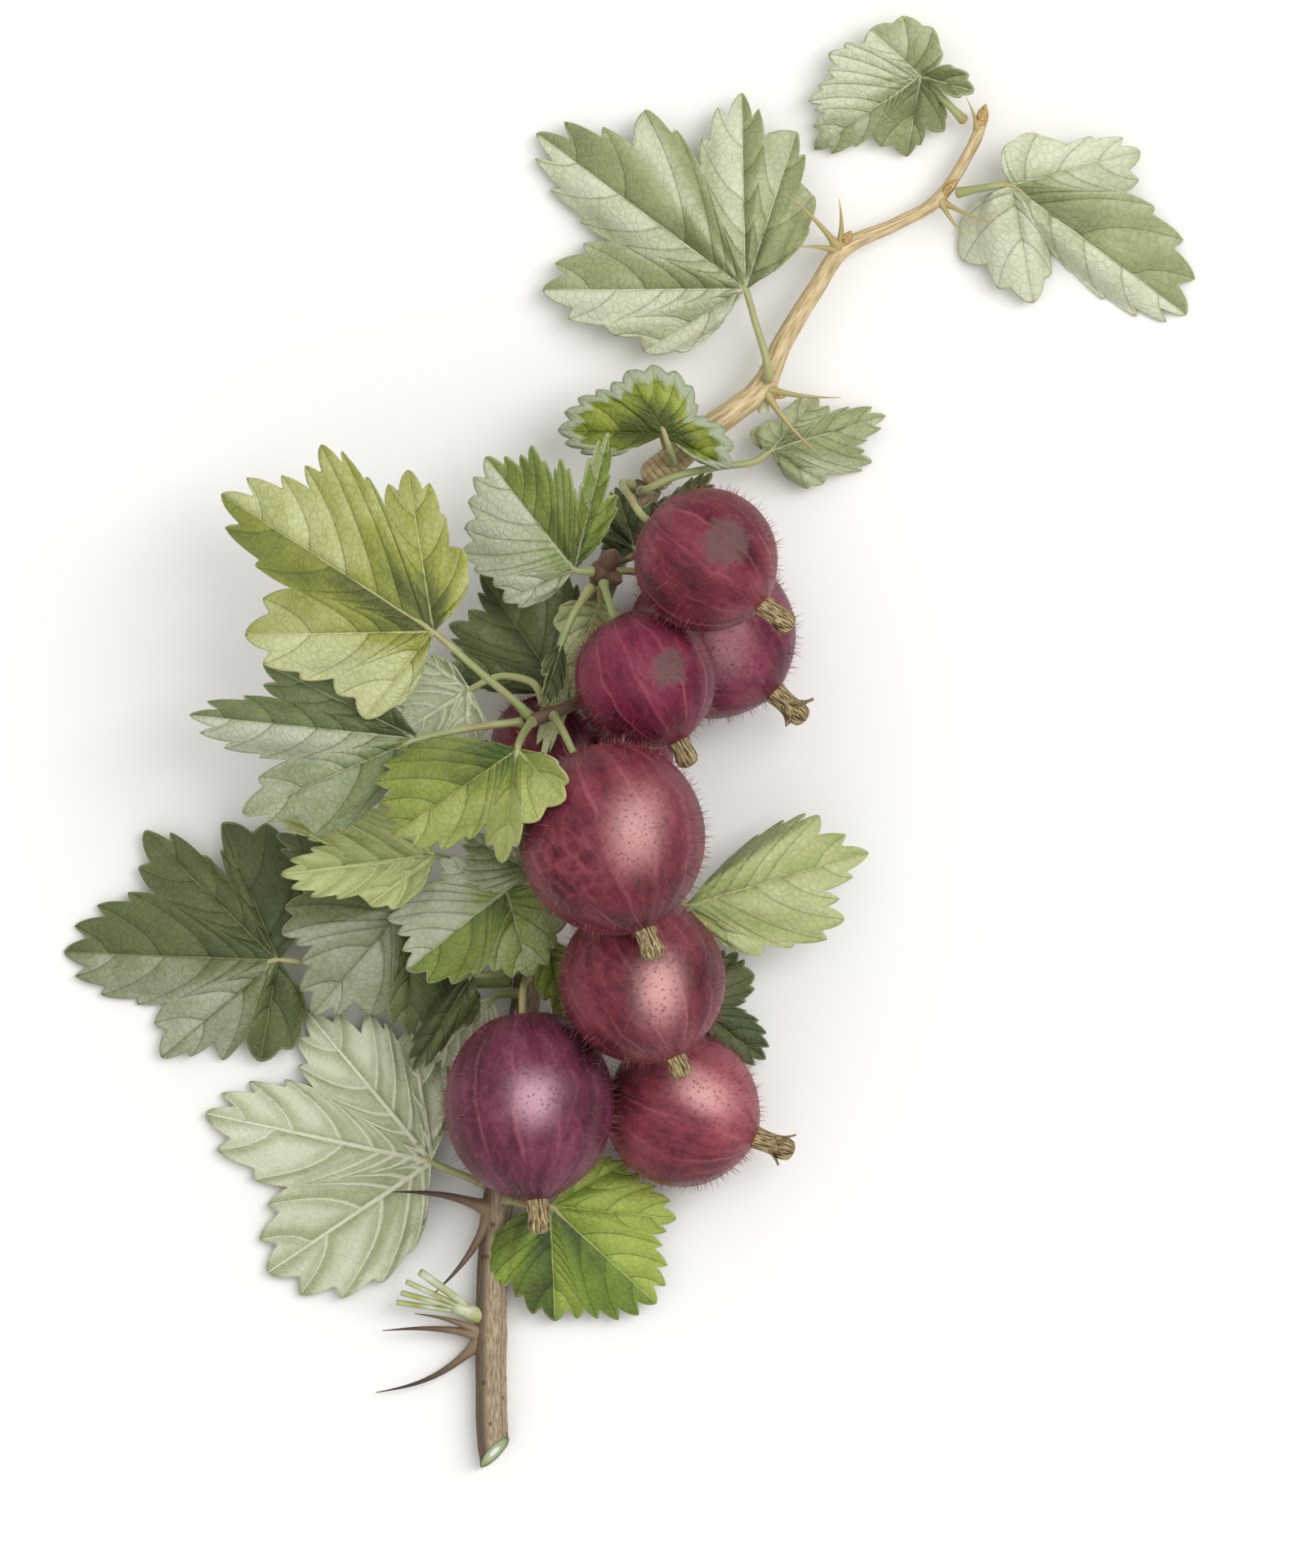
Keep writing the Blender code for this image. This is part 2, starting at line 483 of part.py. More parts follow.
def blade_point(foot, column, out):
    """Find a place on the blade, from 0 at the foot to 1 at the margin."""
    angle, reach, rise, pleat = column
    turn = math.radians(angle)
    ridge = PLEAT_HEIGHT * (pleat - PLEAT_LEVEL) * (1 + PLEAT_SWELL * (0.5 - out))
    return (foot[0] + reach * out * math.cos(turn), foot[1] + reach * out * math.sin(turn),
            foot[2] + rise * out ** BLADE_SAG + ridge * out)


def make_blade(name, foot, outline, rises):
    """Make a leaf's blade: a fan of pleated lobes with a toothed edge, given its thickness."""
    columns = blade_columns(outline, rises)
    body = bmesh.new()
    centre = body.verts.new(place(foot))
    margin = [body.verts.new(place(blade_point(foot, column, 1.0))) for column in columns]
    spokes = [i for i, column in enumerate(columns) if column[3] in (0.0, 1.0)]
    middle = {i: body.verts.new(place(blade_point(foot, columns[i], PLEAT_ROW)))
              for i in spokes}
    for start, end in zip(spokes, spokes[1:]):
        turn = (start + end) // 2
        body.faces.new((centre, middle[start], middle[end]))
        body.faces.new((middle[start], margin[turn], middle[end]))
        for i in range(start, end):
            body.faces.new((middle[start if i < turn else end], margin[i], margin[i + 1]))
    mesh = bpy.data.meshes.new(name)
    body.to_mesh(mesh)
    body.free()
    blade = new_object(name, mesh)
    shell = blade.modifiers.new("thickness", "SOLIDIFY")
    shell.thickness = BLADE_THICKNESS * MM
    shell.offset = 0.0
    shell.use_even_offset = False
    return applied(blade)


def make_leaf(name, foot, stalk, wood_radius, outline, rises):
    """Make one leaf: its blade and its stalk, fused."""
    blade = make_blade(name, foot, outline, rises)
    middle = len(rises) // 2
    inner = blade_point(foot, (*outline[2 * middle + 1], rises[middle], 0.0), STALK_REACH)
    route = smooth_route([inner, foot, *stalk])
    route = stop_short(route, wood_radius + CLEARANCE)
    thicken = (PETIOLE_THICKEST - PETIOLE_THINNEST) / (len(route) - 1)
    radii = [PETIOLE_RADIUS * (PETIOLE_THINNEST + thicken * i) for i in range(len(route))]
    petiole = make_tube(name + "_stalk", [(*p, r) for p, r in zip(route, radii)])
    return fuse(blade, [petiole])


def skin_point(centre, half_widths, aim):
    """Find the place a little under a berry's skin on the line to another place."""
    way = (Vector(aim) - Vector(centre)).normalized()
    reach = 1 / math.sqrt(sum((w / h) ** 2 for w, h in zip(way, half_widths)))
    return Vector(centre) + way * (reach - EMBEDDING)


def make_berry(name, centre, half_widths, flower_tip, stalk, wood_radius):
    """Make one berry with its dried flower and its stalk, fused."""
    body = bmesh.new()
    bmesh.ops.create_uvsphere(body, u_segments=BERRY_SEGMENTS,
                              v_segments=BERRY_RINGS, radius=MM)
    mesh = bpy.data.meshes.new(name)
    body.to_mesh(mesh)
    body.free()
    mesh.transform(Matrix.Diagonal((*half_widths, 1.0)))
    berry = new_object(name, mesh)
    berry.location = place(centre)
    berry = applied(berry)
    foot = skin_point(centre, half_widths, flower_tip)
    flower = make_cone(name + "_flower", foot, flower_tip, CALYX_FOOT_RADIUS, CALYX_RADIUS,
                       CALYX_SIDES)
    start = skin_point(centre, half_widths, stalk[0])
    route = stop_short(smooth_route([tuple(start), *stalk], 2), wood_radius + CLEARANCE)
    pedicel = make_tube(name + "_stalk", [(*p, PEDICEL_RADIUS) for p in route])
    return fuse(berry, [flower, pedicel])


def make_limb(name, path, sides_level):
    """Make one tapering limb with its spines, buds and stubs fused on."""
    limb = make_tube(name, smooth_route(path, 2), sides_level)
    pegs = [make_cone(f"{name}_peg_{i}", foot, tip, r1, r2)
            for i, (owner, foot, tip, r1, r2) in enumerate(SPINES) if owner == name]
    return fuse(limb, pegs)


def cut_foot(wood, cutters):
    """Cut the old wood's foot along the slope that the knife left."""
    normal = Vector(CUT_NORMAL).normalized()
    body = bmesh.new()
    bmesh.ops.create_cube(body, size=CUTTER_SIZE * MM)
    mesh = bpy.data.meshes.new("foot_cutter")
    body.to_mesh(mesh)
    body.free()
    cutter = bpy.data.objects.new("foot_cutter", mesh)
    cutters.objects.link(cutter)
    cutter.location = place(CUT_CENTRE) + normal * (CUTTER_SIZE * MM / 2)
    cutter.rotation_mode = "QUATERNION"
    cutter.rotation_quaternion = normal.to_track_quat("Z", "Y")
    cutter.hide_render = True
    cutter.display_type = "WIRE"
    cut = wood.modifiers.new("cut", "BOOLEAN")
    cut.operation = "DIFFERENCE"
    cut.object = cutter
    cut.solver = "EXACT"


def finish(thing, kind, collection):
    """Give a sub-part its material, its shading and its place in the collection."""
    thing.data.materials.clear()
    thing.data.materials.append(make_material(thing.name, *COLOURS[kind]))
    thing.data.shade_smooth()
    thing.data.set_sharp_from_angle(angle=math.radians(35))
    bpy.context.scene.collection.objects.unlink(thing)
    collection.objects.link(thing)


def main():
    """Model the branch."""
    for thing in list(bpy.data.objects):
        bpy.data.objects.remove(thing)
    scene_collection = bpy.context.scene.collection
    branch = bpy.data.collections.new("gooseberry_branch")
    cutters = bpy.data.collections.new("cutters")
    scene_collection.children.link(branch)
    scene_collection.children.link(cutters)
    old_wood = make_limb("old_wood", OLD_WOOD, 3)
    cut_foot(old_wood, cutters)
    finish(old_wood, "old_wood", branch)
    finish(make_limb("young_shoot", YOUNG_SHOOT, 2), "young_shoot", branch)
    finish(make_limb("fruit_spur", FRUIT_SPUR, 1), "fruit_spur", branch)
    finish(make_limb("leaf_spur", LEAF_SPUR, 1), "leaf_spur", branch)
    for berry in BERRIES:
        finish(make_berry(*berry), "berry", branch)
    for leaf in LEAVES:
        finish(make_leaf(*leaf), "leaf", branch)


main()
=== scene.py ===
"""Gooseberry branch in fruit, dressed over its solids: leaves, berries, wood, spines and hairs.

Places are in millimetres in the row's frame: +X to the right, +Y towards the shoot's tip and
+Z up from the table. Angles are in degrees, anticlockwise from +X as seen from above.
"""

import json
import math
import random

import bmesh
import bpy
import numpy as np
from bpy.props import FloatProperty, FloatVectorProperty, IntProperty, PointerProperty
from mathutils import Matrix, Vector

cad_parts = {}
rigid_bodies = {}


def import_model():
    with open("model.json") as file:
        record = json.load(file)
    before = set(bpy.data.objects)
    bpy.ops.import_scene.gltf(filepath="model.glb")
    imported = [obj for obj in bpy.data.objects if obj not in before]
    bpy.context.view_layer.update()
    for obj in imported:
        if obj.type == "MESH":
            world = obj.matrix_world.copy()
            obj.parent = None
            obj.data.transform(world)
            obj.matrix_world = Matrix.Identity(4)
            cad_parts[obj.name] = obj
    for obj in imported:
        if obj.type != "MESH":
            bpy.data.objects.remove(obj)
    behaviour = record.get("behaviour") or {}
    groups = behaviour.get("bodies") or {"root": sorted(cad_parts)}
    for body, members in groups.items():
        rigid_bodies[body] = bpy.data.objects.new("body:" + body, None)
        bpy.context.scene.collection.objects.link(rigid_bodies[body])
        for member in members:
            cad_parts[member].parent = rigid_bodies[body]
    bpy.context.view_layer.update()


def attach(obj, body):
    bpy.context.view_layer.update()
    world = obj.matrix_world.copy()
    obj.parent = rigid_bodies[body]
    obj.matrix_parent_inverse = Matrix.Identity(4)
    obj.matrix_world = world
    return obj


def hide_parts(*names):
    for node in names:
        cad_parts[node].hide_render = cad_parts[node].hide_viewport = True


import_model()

bl_info = {
    "name": "Gooseberry branch",
    "version": (1, 0, 0),
    "blender": (4, 5, 0),
    "location": "3D View > Sidebar > Gooseberry",
    "description": "Dresses a cut gooseberry branch with leaves, berries, bark, spines and hairs",
    "category": "Add Mesh",
}

MM = 0.001
# A pattern's scale is written as how many of its cells go in a millimetre: 0.8 / MM gives
# cells of 1.25 mm. Each material's comment gives its patterns' sizes.
# Gap in millimetres between a stalk's end and the wood, as between the solids.
CLEARANCE = 0.65
# Margins: how late a lobe falls to its notch, a tooth's length and depth as shares of the
# longest lobe and of the reach there, how far it leans and how round its two sides are.
SINUS_SHARPNESS = 1.7
TOOTH_SHARE = 0.16
TOOTH_DEPTH = 0.1
TOOTH_LEAN = 0.38
TOOTH_FRONT = 1.2
TOOTH_BACK = 1.9
# Columns of places in half a tooth.
COLUMNS_PER_STEP = 6
# Side veins: millimetres between them, degrees from the main vein, and, as shares, their
# arch, how far the two sides' veins miss each other and how far up they start at least.
VEIN_SPACING = 5.0
VEIN_ANGLE = 36
VEIN_ARCH = 0.08
VEIN_STAGGER = 0.3
VEIN_SPARE = 0.45
# Blades: height of the folds, how late a blade droops, millimetres between its rings of
# places, its lowest height above the table, and the share of the middle lobe that the stalk
# runs under.
FOLD_DEPTH = 1.8
SAG = 1.3
RING_SPACING = 0.9
LOWEST = 0.3
STALK_RUN = 0.12
# Stalks: radii, and how deep a fruit's stalk starts in the fruit.
PETIOLE_RADIUS = 0.6
PEDICEL_RADIUS = 0.55
EMBEDDING = 1.6
# The old wood's oblique cut, how far along the wood the bark slants to meet it, and where the
# knots are along the wood.
CUT_NORMAL = (0.9, -1.0, 0.55)
CUT_CENTRE = (-18.8, -100.7, 2.35)
CUT_LENGTH = 7.0
KNOTS = (16.5, 35.0, 52.0, 70.0, 88.0, 104.0, 122.0, 130.0)
# The young shoot's ringed foot ends here along it, and it swells at these buds.
FOOT_LENGTH = 11.0
SHOOT_BUDS = ((19.7, 52.0), (31.3, 71.7), (44.7, 78.7), (49.9, 87.6))
# Hairs: radii and lengths, how many stalk hairs to a square centimetre, and the most that
# they lean, in radians. The fruit's are drawn coarser than real ones, so that they show.
FRUIT_HAIR_RADIUS = 0.06
STALK_HAIR_RADIUS = 0.025
SHOOT_HAIR_RADIUS = 0.03
STALK_HAIR_LENGTH = 0.8
SHOOT_HAIR_LENGTH = 0.7
STALK_HAIRS = 90.0
FRUIT_HAIR_LEAN = 0.4
STALK_HAIR_LEAN = 0.6
SHOOT_HAIR_LEAN = 0.6
# Fixed seeds of what is drawn by chance; a flower's is its berry's number more.
BARK_SEED = 7
FLOWER_SEED = 40
FRUIT_HAIR_SEED = 3
STALK_HAIR_SEED = 5
SHOOT_HAIR_SEED = 8
# Stage: half the table's width and its drop below the branch, the side light's share of the
# main light's power, and the camera, which looks straight down from far off.
TABLE_HALF = 3000.0
TABLE_DROP = 0.2
SIDE_LIGHT_SHARE = 0.12
VIEW_HEIGHT = 223.3
VIEW_CENTRE = (3.9, -5.0, 20.0)
CAMERA_DISTANCE = 3000.0
SENSOR = 36.0

# Limbs: places along the centre line, each with the limb's radius there.
OLD_WOOD = (
    (-18.8, -100.7, 2.35, 2.32),
    (-19.1, -98.1, 2.40, 2.30),
    (-19.3, -92.4, 2.40, 2.25),
    (-19.2, -77.0, 2.50, 2.22),
    (-18.4, -65.5, 2.60, 2.15),
    (-16.4, -50.3, 2.70, 2.10),
    (-14.1, -34.4, 2.90, 2.10),
    (-11.4, -15.5, 3.10, 2.05),
    (-10.9, 0.6, 3.40, 2.00),
    (-7.7, 12.4, 4.00, 1.95),
    (-4.4, 20.6, 4.80, 1.95),
    (-0.1, 31.0, 6.00, 1.95),
    (3.2, 37.6, 7.60, 2.10),
)
YOUNG_SHOOT = (
    (3.9, 38.9, 7.90, 2.35),
    (6.6, 41.2, 8.30, 2.20),
    (12.1, 45.9, 8.50, 1.90),
    (15.6, 48.5, 8.10, 1.80),
    (19.7, 52.0, 7.50, 1.70),
    (22.6, 58.4, 7.00, 1.45),
    (27.2, 65.9, 6.20, 1.28),
    (31.3, 71.7, 5.60, 1.20),
    (38.8, 75.2, 5.00, 0.95),
    (44.7, 78.7, 4.60, 0.92),
    (49.3, 85.7, 4.20, 0.82),
    (51.0, 89.6, 4.00, 0.75),
)
FRUIT_SPUR = (
    (-3.6, 24.6, 8.4, 1.60),
    (-3.6, 24.9, 14.0, 1.45),
    (-3.5, 25.1, 22.0, 1.50),
    (-3.4, 25.2, 25.6, 1.75),
)
LEAF_SPUR = (
    (-6.6, 11.4, 7.0, 1.10),
    (-5.3, 9.7, 14.0, 1.00),
    (-4.9, 8.2, 21.0, 0.90),
    (-7.2, 6.4, 26.6, 0.90),
    (-13.2, 4.0, 28.2, 1.00),
)

# Spines: name of the limb, foot, tip, foot radius and how far the spine bows, in millimetres.
SPINES = (
    ("old_wood", (-19.3, -65.9, 3.2), (-33.3, -63.3, 8.6), 0.95, 0.8),
    ("old_wood", (-19.3, -66.6, 3.2), (-27.4, -77.9, 6.2), 0.90, -0.8),
    ("old_wood", (-20.6, -83.6, 3.0), (-30.2, -80.8, 5.2), 0.70, 0.5),
    ("old_wood", (-20.6, -83.9, 2.8), (-34.8, -83.3, 3.0), 0.80, 0.6),
    ("old_wood", (-20.6, -84.6, 2.6), (-35.8, -92.2, 1.3), 0.80, -1.6),
    ("young_shoot", (20.0, 51.5, 8.2), (30.7, 50.2, 10.8), 0.60, 0.4),
    ("young_shoot", (20.0, 51.0, 8.2), (27.7, 42.0, 10.2), 0.60, 0.5),
    ("young_shoot", (30.6, 71.5, 6.0), (22.7, 79.4, 13.2), 0.60, 0.4),
    ("young_shoot", (30.6, 71.7, 6.0), (30.5, 78.6, 9.0), 0.60, 0.3),
    ("young_shoot", (30.4, 71.3, 6.0), (24.1, 71.7, 10.8), 0.55, 0.3),
    ("young_shoot", (45.0, 78.5, 4.4), (52.9, 75.1, 8.8), 0.50, 0.3),
    ("young_shoot", (45.0, 78.5, 4.8), (48.8, 73.1, 6.8), 0.50, 0.3),
    ("young_shoot", (50.3, 88.9, 4.4), (48.7, 93.2, 5.8), 0.40, 0.2),
)
# Cut stalks left on the wood: name of the limb, foot, tip, foot radius and tip radius.
STUBS = (
    ("old_wood", (-20.4, -81.4, 2.8), (-24.6, -79.8, 4.6), 1.30, 0.95),
    ("old_wood", (-22.6, -79.8, 4.2), (-29.3, -74.8, 8.8), 0.55, 0.60),
    ("old_wood", (-23.2, -80.0, 4.2), (-31.3, -76.2, 7.6), 0.40, 0.42),
    ("old_wood", (-23.4, -80.2, 4.0), (-32.1, -77.8, 6.0), 0.40, 0.42),
    ("old_wood", (-23.4, -80.6, 3.8), (-32.8, -79.2, 4.4), 0.40, 0.42),
    ("young_shoot", (19.5, 51.0, 7.4), (19.7, 48.2, 6.8), 1.00, 0.85),
)
# Buds: name of the limb, foot, tip and widest radius.
BUDS = (
    ("young_shoot", (20.4, 51.4, 7.8), (22.8, 50.3, 8.7), 0.80),
    ("young_shoot", (31.0, 71.8, 6.0), (32.2, 74.1, 7.3), 0.75),
    ("young_shoot", (45.2, 79.2, 4.8), (47.6, 81.5, 5.7), 0.70),
    ("young_shoot", (50.6, 88.9, 4.1), (51.5, 92.3, 4.3), 0.90),
    ("young_shoot", (6.2, 42.0, 8.6), (4.9, 45.9, 10.0), 0.60),
    ("fruit_spur", (-3.2, 25.4, 23.6), (-1.4, 28.2, 28.8), 1.45),
    ("fruit_spur", (-3.2, 25.0, 23.4), (-0.6, 23.8, 27.4), 1.30),
)

# Berries: number, centre, half widths along X, Y and Z, tip of the dried flower, route of the
# stalk to the middle of the wood that it hangs from, that wood's radius, and the skin's kind.
BERRIES = (
    (1, (11.4, 26.7, 39.2), (10.2, 10.2, 10.2), (23.3, 17.4, 41.0),
     ((2.4, 33.0, 38.2), (0.6, 35.7, 33.0), (-0.5, 37.8, 22.0), (1.2, 37.6, 9.4)), 2.2, "crimson"),
    (2, (12.3, 16.3, 12.0), (12.0, 12.0, 12.0), (25.4, 4.3, 13.0),
     ((3.4, 24.7, 12.6), (0.2, 25.4, 13.4), (-3.6, 24.8, 14.4)), 1.5, "rose"),
    (3, (2.8, 9.9, 31.3), (10.0, 10.0, 10.0), (9.0, -2.0, 32.0),
     ((-1.7, 18.9, 31.9), (-2.6, 21.6, 30.4), (-3.4, 24.6, 25.6)), 1.7, "rose"),
    (4, (-1.9, -12.6, 42.2), (13.2, 13.7, 13.2), (4.0, -29.3, 44.0),
     ((-7.6, -0.1, 42.4), (-9.0, 2.8, 36.0), (-10.4, 5.0, 27.6)), 1.0, "crimson"),
    (5, (2.4, -32.9, 27.6), (11.8, 11.8, 11.8), (8.1, -46.2, 29.0),
     ((-2.0, -22.2, 27.2), (-6.2, -20.4, 20.0), (-11.9, -19.4, 3.4)), 2.1, "crimson"),
    (6, (8.0, -51.5, 11.1), (11.1, 11.1, 11.1), (23.7, -57.4, 11.6),
     ((-2.2, -47.4, 10.6), (-8.0, -44.8, 8.2), (-15.4, -43.6, 2.8)), 2.1, "rosy"),
    (7, (-13.7, -50.6, 20.4), (12.1, 13.5, 12.1), (-12.3, -68.6, 21.6),
     ((-14.7, -37.6, 21.0), (-14.6, -34.2, 18.6), (-14.0, -32.6, 3.0)), 2.1, "plum"),
    (8, (-12.1, 0.6, 17.8), (7.1, 7.1, 7.1), (-8.6, -8.4, 17.8),
     ((-14.6, 6.0, 21.6), (-14.8, 5.8, 24.4), (-13.0, 4.1, 28.1)), 1.0, "crimson"),
    (9, (-0.7, -0.9, 7.9), (7.5, 7.5, 7.5), (5.6, -7.9, 8.2),
     ((-4.6, 5.4, 9.6), (-5.2, 7.2, 10.6), (-5.7, 10.4, 11.6)), 1.0, "rose"),
)
# Marks on the berries, as seen from above: berry, the mark's middle measured from the berry's,
# half its width, half its length, the way its length runs and how strong it is.
# Painted highlights: pale pink patches where the main light shines on each berry.
PAINTED_HIGHLIGHTS = {
    2: (1.8, -1.6, 5.2, 6.4, 90, 0.75),
    4: (3.5, 1.2, 4.7, 7.0, 90, 0.9),
    5: (2.5, -1.2, 4.2, 6.4, 90, 1.0),
    6: (3.1, 2.7, 3.4, 6.0, -32, 1.0),
    7: (0.5, 1.0, 4.1, 4.6, 90, 1.0),
}
SCUFFS = {1: (2.7, 2.6, 3.6, 3.8, 90, 1.0), 3: (3.4, 1.4, 2.6, 3.3, 90, 1.0)}
MOTTLES = {
    4: (-6.6, -3.6, 4.8, 6.4, 110, 1.0),
    5: (-6.0, 4.0, 4.2, 5.4, 120, 0.5),
    7: (-6.4, 2.0, 4.2, 8.0, 90, 0.35),
}
# Berries whose withered flower has curled wide open.
CURLED_FLOWERS = (2, 6)
